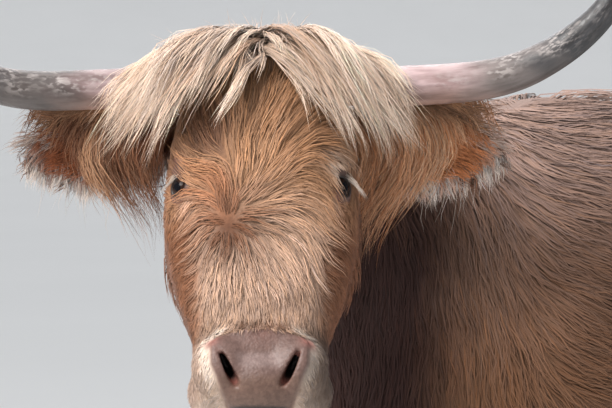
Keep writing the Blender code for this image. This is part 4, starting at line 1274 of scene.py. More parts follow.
class Nodes:
    """A short way to lay out a material's nodes."""

    def __init__(self, name, **sockets):
        self.material = bpy.data.materials.new(name)
        self.material.use_nodes = True
        self.tree = self.material.node_tree
        self.shader = self.tree.nodes["Principled BSDF"]
        for socket, value in sockets.items():
            self.shader.inputs[socket.replace("_", " ")].default_value = value

    def add(self, kind, links=None, **settings):
        """A node of this kind: settings name its properties or, where it has none so named, its sockets."""
        node = self.tree.nodes.new("ShaderNode" + kind)
        for key, value in settings.items():
            if hasattr(node, key):
                setattr(node, key, value)
            else:
                node.inputs[key].default_value = value
        for socket, source in (links or {}).items():
            self.tree.links.new(source, node.inputs[socket])
        return node

    def to_shader(self, socket, source):
        self.tree.links.new(source, self.shader.inputs[socket])

    def kept(self, name):
        """An attribute of the mesh, as a node."""
        return self.add("Attribute", attribute_name=name)

    def ramp(self, source, stops):
        """Colours, or greys given as one number each, by the value of a source."""
        node = self.add("ValToRGB", {0: source})
        elements = node.color_ramp.elements
        while len(elements) < len(stops):
            elements.new(0.5)
        for element, (place, colour) in zip(elements, stops):
            element.position = place
            element.color = (*np.full(3, colour, float), 1)
        return node.outputs["Color"]

    def blend(self, kind, amount, first, second):
        """Mixes two colours; the amount, and the second colour, may be a source or a value."""
        node = self.add("Mix", data_type="RGBA", blend_type=kind)
        places = {0: amount, 6: first, 7: second}
        for place, value in places.items():
            if isinstance(value, bpy.types.NodeSocket):
                self.tree.links.new(value, node.inputs[place])
            elif place == 0:
                node.inputs[0].default_value = value
            else:
                node.inputs[place].default_value = (*value, 1)
        return node.outputs[2]

    def bump(self, height, distance, strength=1):
        node = self.add("Bump", {"Height": height}, Strength=strength, Distance=distance)
        self.to_shader("Normal", node.outputs["Normal"])

    def fine(self, scale, detail=3, vector=None, stretch=None):
        """Noise over the mesh's own coordinates, or over a kept vector, stretched if asked for."""
        source = vector or self.add("TexCoord").outputs["Object"]
        if stretch:
            source = self.add("Mapping", {"Vector": source}, Scale=stretch).outputs["Vector"]
        node = self.add("TexNoise", {"Vector": source}, Scale=scale, Detail=detail)
        return node.outputs["Fac"]


def hair_material(name, roughness=0.62):
    """Hair: the colour kept at each point, with fine streaks of lighter and darker hairs."""
    nodes = Nodes(
        name, Roughness=roughness, Specular_IOR_Level=0.26, Sheen_Weight=0.05, Sheen_Roughness=0.5)
    streaks = nodes.fine(420, 2)
    shade = nodes.ramp(streaks, [(0.3, (0.88, 0.87, 0.86)), (0.7, 1)])
    tone = nodes.blend("MULTIPLY", 1, nodes.kept("coat").outputs["Color"], shade)
    nodes.to_shader("Base Color", tone)
    return nodes.material


def skin_material():
    """Skin: fine short hair all over, pebbled and damp on the bare plate of the nose."""
    nodes = Nodes("cow_skin", Specular_IOR_Level=0.4)
    bare = nodes.kept("bare").outputs["Fac"]
    coat = nodes.kept("coat").outputs["Color"]
    place = nodes.add("TexCoord").outputs["Object"]
    pebbles = nodes.add("TexVoronoi", {"Vector": place}, Scale=330, feature="SMOOTH_F1", Smoothness=0.6)
    fur = nodes.fine(260, 4)
    freckles = nodes.fine(190, 3)
    mottle = nodes.ramp(freckles, [(0.38, (0.82, 0.78, 0.77)), (0.62, (1.06, 1.04, 1.03))])
    hairs = nodes.ramp(fur, [(0.35, (0.82, 0.8, 0.78)), (0.65, 1.05)])
    shade = nodes.blend("MIX", bare, hairs, mottle)
    nodes.to_shader("Base Color", nodes.blend("MULTIPLY", 1, coat, shade))
    rough = nodes.ramp(bare, [(0, 0.75), (1, 0.5)])
    nodes.to_shader("Roughness", rough)
    relief = nodes.blend("MIX", bare, fur, pebbles.outputs["Distance"])
    nodes.bump(relief, 0.0009, 0.5)
    return nodes.material


def lid_material():
    nodes = Nodes("cow_lid", Roughness=0.38, Specular_IOR_Level=0.5)
    mottle = nodes.ramp(nodes.fine(420), [(0.35, (0.82, 0.78, 0.78)), (0.65, (1.06, 1.04, 1.04))])
    nodes.to_shader("Base Color", nodes.blend("MULTIPLY", 1, nodes.kept("coat").outputs["Color"], mottle))
    nodes.bump(nodes.fine(700), 0.0004, 0.6)
    return nodes.material


def eye_material(colours):
    """A wet, nearly black eye: dark brown iris, wide level pupil, bluish at its rim."""
    nodes = Nodes("cow_eye", Roughness=0.16, Specular_IOR_Level=0.06, Coat_Weight=0.08, Coat_Roughness=0.03)
    parts = nodes.add("SeparateXYZ", {0: nodes.kept("gaze").outputs["Vector"]})
    long = nodes.add("Math", {0: parts.outputs["X"]}, operation="DIVIDE")
    long.inputs[1].default_value = 0.46
    high = nodes.add("Math", {0: parts.outputs["Y"]}, operation="DIVIDE")
    high.inputs[1].default_value = 0.26
    oval_in = nodes.add("CombineXYZ", {0: long.outputs[0], 1: high.outputs[0]})
    pupil = nodes.add("VectorMath", {0: oval_in.outputs[0]}, operation="LENGTH").outputs["Value"]
    flat = nodes.add("CombineXYZ", {0: parts.outputs["X"], 1: parts.outputs["Y"]})
    radius = nodes.add("VectorMath", {0: flat.outputs[0]}, operation="LENGTH").outputs["Value"]
    iris = nodes.ramp(radius, [(0, colours.iris), (0.6, colours.iris * 1.2),
                               (0.74, (0.008, 0.006, 0.008)), (0.84, (0.05, 0.03, 0.026))])
    fibres = nodes.ramp(nodes.fine(900), [(0.3, 0.7), (0.7, 1.2)])
    iris = nodes.blend("MULTIPLY", 1, iris, fibres)
    hole = nodes.ramp(pupil, [(0.88, 1), (1, 0)])
    nodes.to_shader("Base Color", nodes.blend("MIX", hole, iris, (0.004, 0.004, 0.006)))
    return nodes.material


def horn_material():
    """Horn: lengthwise grain, flaky pale scuffs that are duller than the horn, and fine pits."""
    nodes = Nodes("cow_horn", Specular_IOR_Level=0.45)
    grain = nodes.kept("grain").outputs["Vector"]
    coat = nodes.kept("coat").outputs["Color"]
    lines = nodes.fine(90, 5, grain, (0.16, 1, 1))
    flakes = nodes.fine(230, 6, grain, (0.45, 1, 1))
    patches = nodes.fine(34, 3, grain, (0.7, 1, 1))
    shade = nodes.ramp(lines, [(0.36, (0.62, 0.56, 0.53)), (0.56, (1.1, 1.08, 1.06))])
    tone = nodes.blend("MULTIPLY", 1, coat, shade)
    scuffed = nodes.ramp(flakes, [(0.46, 0), (0.58, 1)])
    area = nodes.ramp(patches, [(0.44, 0.12), (0.6, 0.7)])
    scuffed = nodes.blend("MULTIPLY", 1, scuffed, area)
    worn = nodes.add("Math", {0: scuffed, 1: nodes.kept("worn").outputs["Fac"]}, operation="MULTIPLY")
    nodes.to_shader("Base Color", nodes.blend("MIX", worn.outputs[0], tone, (0.46, 0.41, 0.39)))
    rough = nodes.ramp(flakes, [(0.35, 0.34), (0.66, 0.66)])
    nodes.to_shader("Roughness", rough)
    relief = nodes.blend("ADD", 0.6, lines, scuffed)
    nodes.bump(relief, 0.0009, 0.75)
    return nodes.material


def hoof_material(colours):
    nodes = Nodes("cow_hoof", Specular_IOR_Level=0.4)
    rings = nodes.fine(60, 3, None, (0.15, 0.15, 3.2))
    tone = nodes.ramp(rings, [(0.35, colours.hoof * 0.6), (0.65, colours.hoof * 2.2)])
    dust = nodes.ramp(nodes.fine(35, 5), [(0.55, 0), (0.75, 0.35)])
    nodes.to_shader("Base Color", nodes.blend("MIX", dust, tone, (0.17, 0.14, 0.115)))
    nodes.to_shader("Roughness", nodes.ramp(rings, [(0.3, 0.45), (0.7, 0.68)]))
    nodes.bump(rings, 0.0012, 0.7)
    return nodes.material


def open_lids(points):
    """Sinks the skin between the lids to just under the eyeball."""
    local = in_head(points)
    for _, side in SIDES:
        reach = eye_reach(local, side)
        centre = np.array(mirrored(EYE_PLACE, side))
        away = unit(local - centre)
        distance = norm(local - centre, axis=1)
        depth = EYE_RADIUS - SOCKET_GAP
        weight = step(reach, 1.28, 1.02)
        wanted = distance * (1 - weight) + depth * weight
        local = centre + away * wanted[:, None]
    return local @ HEAD_AXES + np.array(POLL)


class COW_OT_skin(bpy.types.Operator):
    """Fuse the flesh into one skin, with nostrils, mouth and eye sockets, and mark it like the coat"""

    bl_idname = "cow.skin"
    bl_label = "Skin"

    def execute(self, context):
        colours, coat = palette(context), context.scene.cow_coat
        head = fuse("head_form", head_forms() + [ear_form(side) for _, side in SIDES], HEAD_VOXEL, 16)
        FORMS["closed_head"] = Surface(head)
        cuts = [mouth_cutter()] + [nostril_cutter(side) for _, side in SIDES]
        head = smoothed_out(combine(head, cuts, "DIFFERENCE"), HEAD_VOXEL * 0.85, 3)
        body = fuse("body_form", torso_forms() + neck_forms() + leg_forms() + [tail_form()], BODY_VOXEL, 10)
        for obj in (head, body):
            points, normals = points_of(obj), normals_of(obj)
            if obj is head:
                bare = np.maximum(plate_mask(points), on_ear(points))
                points = points - normals * (coat.depth * (1 - bare))[:, None]
                points = open_lids(points)
            else:
                points = points - normals * coat.depth
            set_points(obj, points)
        FORMS["head"], FORMS["body"] = Surface(head), Surface(body)
        skin = combine(head, [body], "UNION")
        skin.name = "cow_skin"
        FORMS["skin"] = Surface(skin)
        points = points_of(skin)
        tones = hide_tones(points, colours)
        plate = plate_mask(points)
        tones = mix(tones * 0.9, plate_tones(points, colours), plate)
        tones = mix(tones, (0.4, 0.15, 0.12), flesh_mask(points) * 0.85)
        # Painted shade: the nostrils darken to near black with their depth
        tones = mix(tones, (0.018, 0.01, 0.01), nostril_mask(points))
        local = in_head(points)
        for _, side in SIDES:
            tones = mix(tones, colours.lid, step(eye_reach(local, side), 1.5, 1.2))
        paint(skin, tones)
        keep(skin, "bare", plate)
        skin.data.shade_smooth()
        finish_piece(skin, skin_material(), *FLESH)
        return {"FINISHED"}


class COW_OT_eyes(bpy.types.Operator):
    """Set a wet, dark eyeball in each socket"""

    bl_idname = "cow.eyes"
    bl_label = "Eyes"

    def execute(self, context):
        material = eye_material(palette(context))
        for label, side in SIDES:
            centre, gaze, along, up = eye_axes(side)
            turn = gaze.to_track_quat("Z", "Y").to_matrix().to_4x4()
            ball = ellipsoid(f"eyeball_{label}", centre, (EYE_RADIUS,) * 3, turn, 64, 48)
            points = points_of(ball)
            away = unit(points - np.array(centre))
            ahead = away @ np.array(gaze)
            points = points + np.array(gaze) * (0.0018 * step(ahead, 0.72, 1))[:, None]
            set_points(ball, points)
            keep(ball, "gaze", columns(away @ np.array(along), away @ np.array(up), ahead))
            moved(ball, HEAD)
            ball.data.shade_smooth()
            finish_piece(ball, material, f"eye_{label}", slot="eye")
        return {"FINISHED"}


def lid_point(side, turn, reach, proud):
    """A place round the eye: turn about the gaze, reach out over the lid from its rim, and proud of it."""
    centre, gaze, along, up = eye_axes(side)
    c, s = cos(turn), sin(turn)
    wide = copysign(abs(c) ** 1.12, c) * LID_OPENING[0]
    high = copysign(abs(s) ** 1.12, s) * LID_OPENING[1]
    outward = (along * wide + up * high).normalized()
    angle = asin(min(hypot(wide, high) / EYE_RADIUS, 0.98)) + reach / EYE_RADIUS
    heading = gaze * cos(angle) + outward * sin(angle)
    start = HEAD @ centre
    _, _, _, distance = FORMS["closed_head"].tree.ray_cast(start, HEAD.to_3x3() @ heading)
    blend = min(max(reach / (LID_REACH * 0.75), 0), 1)
    blend = blend * blend * (3 - 2 * blend)
    radius = (EYE_RADIUS + 0.0004) * (1 - blend) + (distance - LID_SINK) * blend
    return start + HEAD.to_3x3() @ heading * (radius + proud)


def make_lids(label, side, colours, material):
    """A ring of lids: a rounded rim on the eyeball, a fold behind it, and an edge sunk in the skin."""
    profile = [(-0.0008, -0.0004), (-0.0003, 0.0009), (0.0006, 0.0017), (0.0018, 0.0019), (0.0032, 0.0012),
               (0.0046, 0.0009), (0.006, 0.0002), (0.0075, -0.0016), (0.0075, -0.0045), (0.0035, -0.0042),
               (0.0004, -0.0028)]
    count = 72
    rings = []
    for i in range(count):
        turn = 2 * pi * i / count
        upper = max(0, sin(turn))
        ring = []
        for reach, proud in profile:
            thick = proud * (1 + 0.45 * upper) if proud > 0 else proud
            fold = 0.0008 * upper if 0.004 < reach < 0.007 else 0
            ring.append(lid_point(side, turn, reach, thick + fold))
        rings.append(ring)
    bm = bmesh.new()
    loops = [[bm.verts.new(point) for point in ring] for ring in rings]
    for i in range(count):
        near, far = loops[i], loops[(i + 1) % count]
        for j in range(len(profile)):
            k = (j + 1) % len(profile)
            bm.faces.new((near[j], near[k], far[k], far[j]))
    lids = make_solid(f"lids_{label}", bm)
    by_place = [0.08, 0.1, 0.22, 0.5, 0.62, 0.75, 0.9, 1, 1, 0.5, 0.1]
    tones = np.tile(np.array(by_place)[:, None] * colours.lid, (count, 1))
    local = in_head(points_of(lids))
    centre, gaze, along, _ = (np.array(v) for v in eye_axes(side))
    corner = centre + (gaze * 0.7 + along * 0.9) * EYE_RADIUS
    tones = mix(tones, (0.33, 0.135, 0.11), spot(local, corner, 0.0062) * 0.8)
    paint(lids, tones)
    lids.data.shade_smooth()
    finish_piece(lids, material)


def make_lashes(label, side, colours, material):
    """Pale lashes along the upper lid, which reach out and down past the eye."""
    rng = np.random.default_rng(90 + side)
    paths = []
    outer = lid_point(side, pi * 0.97, 0.003, 0.0008)
    reach = 0.036 if side > 0 else 0.022
    tip = outer + (FACE_LEFT * side * 0.75 + DOWN * 0.85 + FORWARD * 0.3) * reach
    for _ in range(44):
        share = rng.random() ** 0.45
        root = lid_point(side, pi * (0.72 + 0.34 * share), rng.uniform(0.0008, 0.0036), 0.0008)
        aim = root.lerp(tip, rng.uniform(0.55, 1) * (0.25 + 0.75 * share))
        aim += Vector(rng.normal(0, 0.0011, 3))
        bow = (FORWARD * 0.16 + FACE_LEFT * side * 0.1 - DOWN * 0.06) * (aim - root).length
        paths.append([root.lerp(aim, j / 5) + bow * sin(pi * j / 5) for j in range(6)])
    paths = np.array(paths)
    outward = np.broadcast_to(np.array(FORWARD), paths.shape)
    width = rng.uniform(0.0004, 0.0005, len(paths))
    strands = Strands(paths, outward, width, paths[:, 0], np.arange(len(paths)))
    tints = np.tile(colours.cream * 0.85, (len(paths), 1))
    make_coat(f"lashes_{label}", strands, lambda _: tints, head_chart, material, 91 + side, root_shade=0.7)


class COW_OT_lids(bpy.types.Operator):
    """Put lids and lashes round the eyes"""

    bl_idname = "cow.lids"
    bl_label = "Lids and Lashes"

    def execute(self, context):
        colours = palette(context)
        skin, hair = lid_material(), hair_material("cow_lash_hair")
        for label, side in SIDES:
            make_lids(label, side, colours, skin)
            make_lashes(label, side, colours, hair)
        return {"FINISHED"}


class COW_OT_horns(bpy.types.Operator):
    """Give the horns their grain, growth rings, scuffs and dark tips"""

    bl_idname = "cow.horns"
    bl_label = "Horns"

    def execute(self, context):
        colours = palette(context)
        material = horn_material()
        count, sides = 170, 44
        for label, side in SIDES:
            def relief(share, turn):
                growth = sin(share * 150 + 1.2 * sin(turn + share * 9))
                rings = growth * 0.00035 * max(0, 0.45 - share) / 0.45
                ripples_round = 0.00045 * sin(3 * turn + 7 * share + side) * (1 - share)
                return rings + ripples_round - 0.0006

            rings, tip = horn_rings(side, count, sides, relief)
            horn = tube(f"horn_shell_{label}", rings, tip)
            shares = np.repeat(np.arange(count - 1) / (count - 1), sides)
            turns = np.tile(2 * pi * np.arange(sides) / sides, count - 1)
            shares, turns = np.append(shares, [0, 1]), np.append(turns, [0, 0])
            points = points_of(horn)
            ends = np.array(rings[0]).mean(axis=0)
            order = norm(points[-2:] - ends, axis=1)
            if order[0] > order[1]:
                shares[-2:] = [1, 0]
            top = normals_of(horn)[:, 2]
            tones = colours.horn_base * (1.1 if side > 0 else 0.72)
            # Painted shade: the underside darkens to a warm brown the more it faces down
            tones = mix(tones, (0.3, 0.165, 0.115), step(top, 0.1, -0.75) * 0.75)
            patchy = shares + 0.025 * ripple(points, 0.04, 33)
            tones = mix(tones, colours.horn_middle * (1.3 if side > 0 else 0.65),
                        step(patchy, 0.28, 0.46) if side > 0 else step(patchy, 0.24, 0.37))
            tones = mix(tones, colours.horn_tip, step(patchy, 0.44, 0.6))
            paint(horn, tones)
            worn = step(top, -0.4, 0.6) * step(shares, 0.8, 0.6) * step(shares, 0.2, 0.34) + 0.14
            worn = worn + 0.75 * step(shares, 0.2, 0.14) * step(top, -0.7, 0.2)
            keep(horn, "worn", worn)
            grain = columns(shares * 0.6, np.cos(turns) * 0.024, np.sin(turns) * 0.024)
            keep(horn, "grain", grain)
            horn.data.shade_smooth()
            finish_piece(horn, material, f"horn_{label}", slot="horn")
        return {"FINISHED"}


def claw_form(centre_x, centre_y):
    """One claw of a cloven hoof: a wedge with a rounded toe, flat below and ringed by growth."""
    knots = [(0, (0.97, 0.97, 0)), (0.003, (1, 1, 0)), (0.012, (1, 1, 0.001)),
             (0.04, (0.84, 0.93, 0.008)), (HOOF_HEIGHT, (0.68, 0.84, 0.017))]
    rings = []
    count, sides = 26, 36
    for i in range(count):
        height = HOOF_HEIGHT * i / (count - 1)
        length, width, slide = (eased(height, [(h, values[k]) for h, values in knots]) for k in range(3))
        ridge = 1 + 0.006 * sin(height * 900) * min(1, height / 0.01)
        middle = Vector((centre_x, centre_y + slide, height))
        ring = []
        for j in range(sides):
            turn = 2 * pi * (j + 0.5) / sides
            ahead = -cos(turn)
            reach = CLAW_LENGTH / 2 * length * (ahead if ahead < 0 else 0.86 * ahead)
            spread = CLAW_WIDTH / 2 * width * sin(turn) * (1 - 0.16 * max(0, -ahead))
            ring.append(middle + Vector((spread, reach, 0)) * ridge)
        rings.append(ring)
    return tube("claw", rings)


class COW_OT_hooves(bpy.types.Operator):
    """Shape the cloven hooves, with their growth rings, and the dewclaws behind them"""

    bl_idname = "cow.hooves"
    bl_label = "Hooves and Dewclaws"

    def execute(self, context):
        material = hoof_material(palette(context))
        back_to_drawing = -frame_shift()
        for end in ("front", "hind"):
            for label, _ in SIDES:
                low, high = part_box(f"hoof_{end}_{label}")
                middle = (Vector(low) + Vector(high)) / 2 + back_to_drawing
                heel = Vector(high).y + back_to_drawing.y
                centre_y = heel - CLAW_LENGTH / 2 * 0.86
                claws = [claw_form(middle.x + way * CLAW_SPREAD, centre_y) for way in (-1, 1)]
                cleft = Matrix.Translation((middle.x, centre_y + 0.02, HOOF_HEIGHT / 2 + 0.01))
                bridge = block("bridge", cleft, (0.03, 0.034, HOOF_HEIGHT - 0.024))
                hoof = combine(claws[0], [claws[1], bridge], "UNION")
                hoof.name = f"claws_{end}_{label}"
                hoof.data.shade_smooth()
                hoof.data.set_sharp_from_angle(angle=radians(40))
                finish_piece(hoof, material, f"hoof_{end}_{label}", slot="hoof")
                nubs = []
                tilt = Matrix.Rotation(radians(-28), 4, "X")
                for way in (-1, 1):
                    place = (middle.x + way * DEWCLAW_SPREAD, FETLOCK[end] + DEWCLAW_BEHIND, DEWCLAW_HEIGHT)
                    nubs.append(ellipsoid("nub", place, DEWCLAW_RADII, tilt))
                dewclaws = combine(nubs[0], [nubs[1]], "UNION")
                dewclaws.name = f"dewclaws_{end}_{label}"
                dewclaws.data.shade_smooth()
                finish_piece(dewclaws, material, slot="hoof")
        return {"FINISHED"}


def on_face(places, normals):
    """The front and sides of the head, less the ears, the plate of the nose and the lids."""
    local = in_head(places)
    _, out, down = local.T
    bare = (plate_mask(places) > 0.4) | (nostril_mask(places) > 0.05) | on_ear(places)
    lids = np.minimum(eye_reach(local, 1), eye_reach(local, -1)) < 1.28
    inside_mouth = (out < -0.06) & (down > 0.45) & (out > -0.085)
    return ~bare & ~lids & ~inside_mouth & (out > -0.115) & (down > -0.02) & (down < 0.47)


def face_length(size):
    def length(roots):
        local = in_head(roots)
        across, _, down = local.T
        found = between(down, [(0, 1.5), (0.1, 1.5), (0.17, 1.1), (0.22, 1), (0.3, 0.85), (0.345, 0.5),
                               (0.375, 0.33), (0.45, 0.36)])
        found = found * between(np.abs(across), [(0.06, 1), (0.085, 0.6)])
        found = found * (1 - 0.25 * spot(local[:, [0, 2]], WHORL, 0.02))
        eyes = [np.array(mirrored(EYE_PLACE, side)) for _, side in SIDES]
        near = np.min([norm(local - eye, axis=1) for eye in eyes], axis=0)
        found = found * (0.24 + 0.76 * step(near, 0.024, 0.056))
        return size * found
    return length


class COW_OT_face_coat(bpy.types.Operator):
    """Comb the face out from its whorl, in fine wisps that are shortest round the eyes and nose"""

    bl_idname = "cow.face_coat"
    bl_label = "Face Coat"

    def execute(self, context):
        colours, coat = palette(context), context.scene.cow_coat

        def width(roots):
            return between(down_face(roots), [(0, 0.0016), (0.2, 0.0015), (0.34, 0.0011), (0.4, 0.0009)])

        def lift(roots):
            knots = [(0.05, 0.006), (0.18, 0.0045), (0.28, 0.0035), (0.35, 0.003), (0.4, 0.002)]
            return between(down_face(roots), knots)

        def on_muzzle(places, normals):
            return on_face(places, normals) & (down_face(places) > 0.335)

        def above_muzzle(places, normals):
            return on_face(places, normals) & (down_face(places) <= 0.34)

        def on_forehead(places, normals):
            across, _, down = in_head(places).T
            wide = between(down, [(0.02, 0.075), (0.2, 0.08), (0.24, 0.062), (0.3, 0.05)])
            return on_face(places, normals) & (down > 0.01) & (down < 0.31) & (np.abs(across) < wide)

        def long_length(roots):
            knots = [(0.1, 1.5), (0.2, 2.2), (0.25, 1.8), (0.31, 1.2)]
            return length(roots) * between(down_face(roots), knots)

        length = face_length(coat.face)
        hair = Hair(length, width, 0.003, 0.009, points=3, lift=lift, fall=0.05, pull=0.35, frizz=0.04)
        locks = Hair(long_length, 0.001, 0.0042, 0.0125, points=5, lift=lambda roots: lift(roots) * 2.4,
                     fall=0.05, pull=0.55, frizz=0.035, wave=0.0008, wavelength=0.035, steps=7,
                     spread=(0.5, 1))
        muzzle = Hair(
            length, width, 0.0026, 0.0075, points=3, lift=lift, fall=0, pull=0.45, frizz=0.06, steps=4)
        material = hair_material("cow_face_hair")
        tones = lambda roots: head_tones(roots, colours)
        cover("face_coat", "head", hair, above_muzzle, face_lie, 101, tones, head_chart, material, "body",
              root_shade=0.88, variety=0.07, wisp_variety=0.07)
        cover("forehead_coat", "head", locks, on_forehead, face_lie, 105, lambda roots: tones(roots) * 1.18,
              head_chart, material, "body", root_shade=0.78, variety=0.2, wisp_variety=0.17)
        cover("muzzle_coat", "head", muzzle, on_muzzle, face_lie, 103, tones, head_chart, material, "body",
              root_shade=0.85)
        return {"FINISHED"}


class COW_OT_jaw_coat(bpy.types.Operator):
    """Hang longer hair on the jaw, throat and nape"""

    bl_idname = "cow.jaw_coat"
    bl_label = "Jaw and Nape Coat"

    def execute(self, context):
        colours = palette(context)

        def on_jaw(places, normals):
            _, out, down = in_head(places).T
            return ~on_ear(places) & ((out <= -0.105) | (down <= -0.01)) & (plate_mask(places) < 0.4)

        def length(roots):
            return between(down_face(roots), [(0, 0.075), (0.2, 0.065), (0.33, 0.045), (0.4, 0.018)])

        def lie(places, normals):
            back = np.array(DOWN) - np.array(FORWARD) * 0.7
            return along_skin(back + ripples(places, 0.05, 63) * 0.2, normals)

        hair = Hair(length, 0.0025, 0.0064, 0.018, lift=0.012, fall=0.35, frizz=0.05)
        cover("jaw_coat", "head", hair, on_jaw, lie, 111, lambda roots: head_tones(roots, colours),
              head_chart, hair_material("cow_jaw_hair"), "body")
        return {"FINISHED"}


class COW_OT_forelock(bpy.types.Operator):
    """Part a long blond forelock at the poll, and fan it out over the horns and beside the forehead"""

    bl_idname = "cow.forelock"
    bl_label = "Forelock"

    def execute(self, context):
        colours, coat = palette(context), context.scene.cow_coat
        rng = np.random.default_rng(121)
        count = 320
        side = np.where(np.arange(count) % 2 == 0, 1, -1)
        share, layer = rng.random(count), rng.random(count)
        middle = np.arange(count) % 19 == 0
        share[middle] = 0
        outer = 0.056 * share * rng.uniform(0.6, 1.1, count)
        across = side * (outer - 0.03 * rng.random(count) * (1 - share))
        back = -0.006 - 0.052 * layer
        starts = columns(across, back, np.full(count, -0.03))
        starts = out_of_head(starts) + np.array(POLL)
        roots, normals = FORMS["skin"].nearest(starts)
        crest = (0.012 + 0.046 * layer) * np.maximum(0, 1 - 1.8 * share)
        run = coat.forelock * (0.05 + 0.52 * share) + crest
        leaving = np.radians(between(share, [(0, 30), (0.15, 52), (0.4, 74)]))
        ending = np.radians(rng.normal(28, 5, count))
        ending[middle] = np.radians(rng.uniform(-18, 26, middle.sum()))

        def lie(places, facings):
            travelled = norm(places - roots, axis=1)
            turned = step(travelled, run * 0.55, run * 1.45 + 0.01)
            angle = leaving * (1 - turned) + ending * turned
            down = between(down_face(places), [(-0.03, 0), (0.015, 1)])[:, None]
            over = columns(side * np.sin(angle) * 0.75, np.ones(count), np.zeros(count))
            beside = columns(side * np.sin(angle), np.zeros(count), np.cos(angle))
            flow = out_of_head(over * (1 - down) + beside * down)
            return along_skin(flow + ripples(places, 0.05, 65) * 0.1, facings)

        hanging = np.where(side > 0, between(share, [(0, 1.12), (0.25, 1.04), (0.5, 0.84), (1, 0.5)]),
                           between(share, [(0, 0.7), (0.2, 0.96), (0.4, 0.9), (0.6, 0.76), (1, 0.5)]))
        length = (run + coat.forelock * hanging) * rng.uniform(0.72, 1.06, count)
        length[middle] *= rng.uniform(0.35, 0.75, middle.sum())
        lift = 0.005 + 0.018 * layer
        fall = 0.1 + 0.25 * share
        paths, outward = comb(HornedSkin(), roots, normals, lie, length, 8, lift, fall, 0.004, 0.85)
        hair = Hair(0, 0.0014, 0.004, 0.02, points=6, pull=0.72, frizz=0.032, wave=0.0012, wavelength=0.08,
                    spread=(0.52, 1))
        child_roots = []
        sideways = unit(np.cross(paths[:, 1] - paths[:, 0], normals))
        for _ in range(20):
            offset = sideways * rng.normal(0, 0.0054, (count, 1))
            offset = offset + normals * rng.normal(0, 0.002, (count, 1))
            child_roots.append(roots + offset)
        found = fill_out(paths, outward, roots, length, np.concatenate(child_roots), hair, rng)
        material = hair_material("cow_forelock_hair", 0.5)
        make_coat("forelock", found, lambda _: forelock_tones(found, colours), head_chart, material, 122,
                  root_shade=0.72, tip_shade=1.05, variety=0.14, wisp_variety=0.18)
        strays = stray_hairs(rng)
        make_coat("strays", strays, lambda _: forelock_tones(strays, colours), head_chart, material, 124)
        return {"FINISHED"}


def stray_hairs(rng):
    """Single fine hairs that stand up off the poll and bend with the wind."""
    count = 130
    across, out = rng.normal(0, 0.045, count), rng.uniform(-0.06, -0.01, count)
    starts = columns(across, out, np.full(count, -0.03))
    roots, normals = FORMS["skin"].nearest(out_of_head(starts) + np.array(POLL))
    heading = normals * 0.6 + np.array([0, 0, 0.7]) + rng.normal(0, 0.35, (count, 3))
    bend = rng.normal(0, 0.16, (count, 3)) + in_head(roots)[:, :1] * np.array(FACE_LEFT) * 4
    bend = bend - np.array([0, 0, 0.05])
    length = rng.uniform(0.03, 0.068, (count, 1))
    places = [roots]
    for _ in range(5):
        heading = unit(heading) + bend
        places.append(places[-1] + unit(heading) * length / 5)
    paths = np.stack(places, axis=1)
    outward = np.broadcast_to(np.array(FORWARD), paths.shape)
    return Strands(paths, outward, rng.uniform(0.0004, 0.0007, count), roots, np.arange(count))


def forelock_tones(strands, colours):
    """Blond that pales towards the tips, with some strands of tan among the blond ones."""
    rng = np.random.default_rng(123)
    tan = step(rng.random(int(strands.wisp.max()) + 1)[strands.wisp], 0.5, 0.95)
    roots = mix(mix(colours.blond, colours.fawn, 0.65), colours.tan, tan * 0.75)
    tips = mix(colours.blond * 1.08, colours.tan, tan * 0.4)
    return columns(roots, tips)


class HornedSkin:
    """The skin together with the horns, for hair that falls over both."""

    def __init__(self):
        self.horns = []
        for _, side in SIDES:
            self.horns.append(np.array([tuple(p) for p in sample_path(horn_path(side), 60)]))

    def nearest(self, places):
        found, facings = FORMS["skin"].nearest(places)
        distance = norm(places - found, axis=1)
        inside = np.sum((places - found) * facings, axis=1) < 0
        for path in self.horns:
            apart = norm(places[:, None] - path[None], axis=2)
            closest = apart.argmin(axis=1)
            rows = np.arange(len(places))
            share = closest / (len(path) - 1)
            radius = np.array([horn_radius(s) for s in share])
            gap = apart[rows, closest] - radius
            nearer = (gap < distance) & ~inside
            away = unit(places - path[closest])
            found[nearer] = (path[closest] + away * radius[:, None])[nearer]
            facings[nearer] = away[nearer]
            distance = np.where(nearer, gap, distance)
        return found, facings


class COW_OT_ear_coat(bpy.types.Operator):
    """Fringe the ears: fuzz in the cup, a pale rim, and long hair that hangs across and under it"""

    bl_idname = "cow.ear_coat"
    bl_label = "Ear Coat"

    def execute(self, context):
        colours, size = palette(context), context.scene.cow_coat.ear_fringe
        material = hair_material("cow_ear_hair", 0.6)
        shades = lambda roots: ear_tones(roots, colours)
        cups, backs = zip(*(ear_hair(side) for _, side in SIDES))
        make_coat("ear_coat", joined(cups), shades, ear_chart, material, 134, softness=0.5, root_shade=0.75)
        make_coat("ear_back_coat", joined(backs), shades, ear_chart, material, 136, softness=0)
        for name, made in (("ear_fringe", [ear_fringe(side, size, colours) for _, side in SIDES]),
                           ("ear_curtain", [ear_curtain(side) for _, side in SIDES])):
            strands, tones = zip(*made)
            tones = np.concatenate(tones)
            make_coat(name, joined(strands), lambda roots: tones, ear_chart, material, 135, softness=0.5,
                      root_shade=0.7, variety=0.16, wisp_variety=0.16)
        return {"FINISHED"}


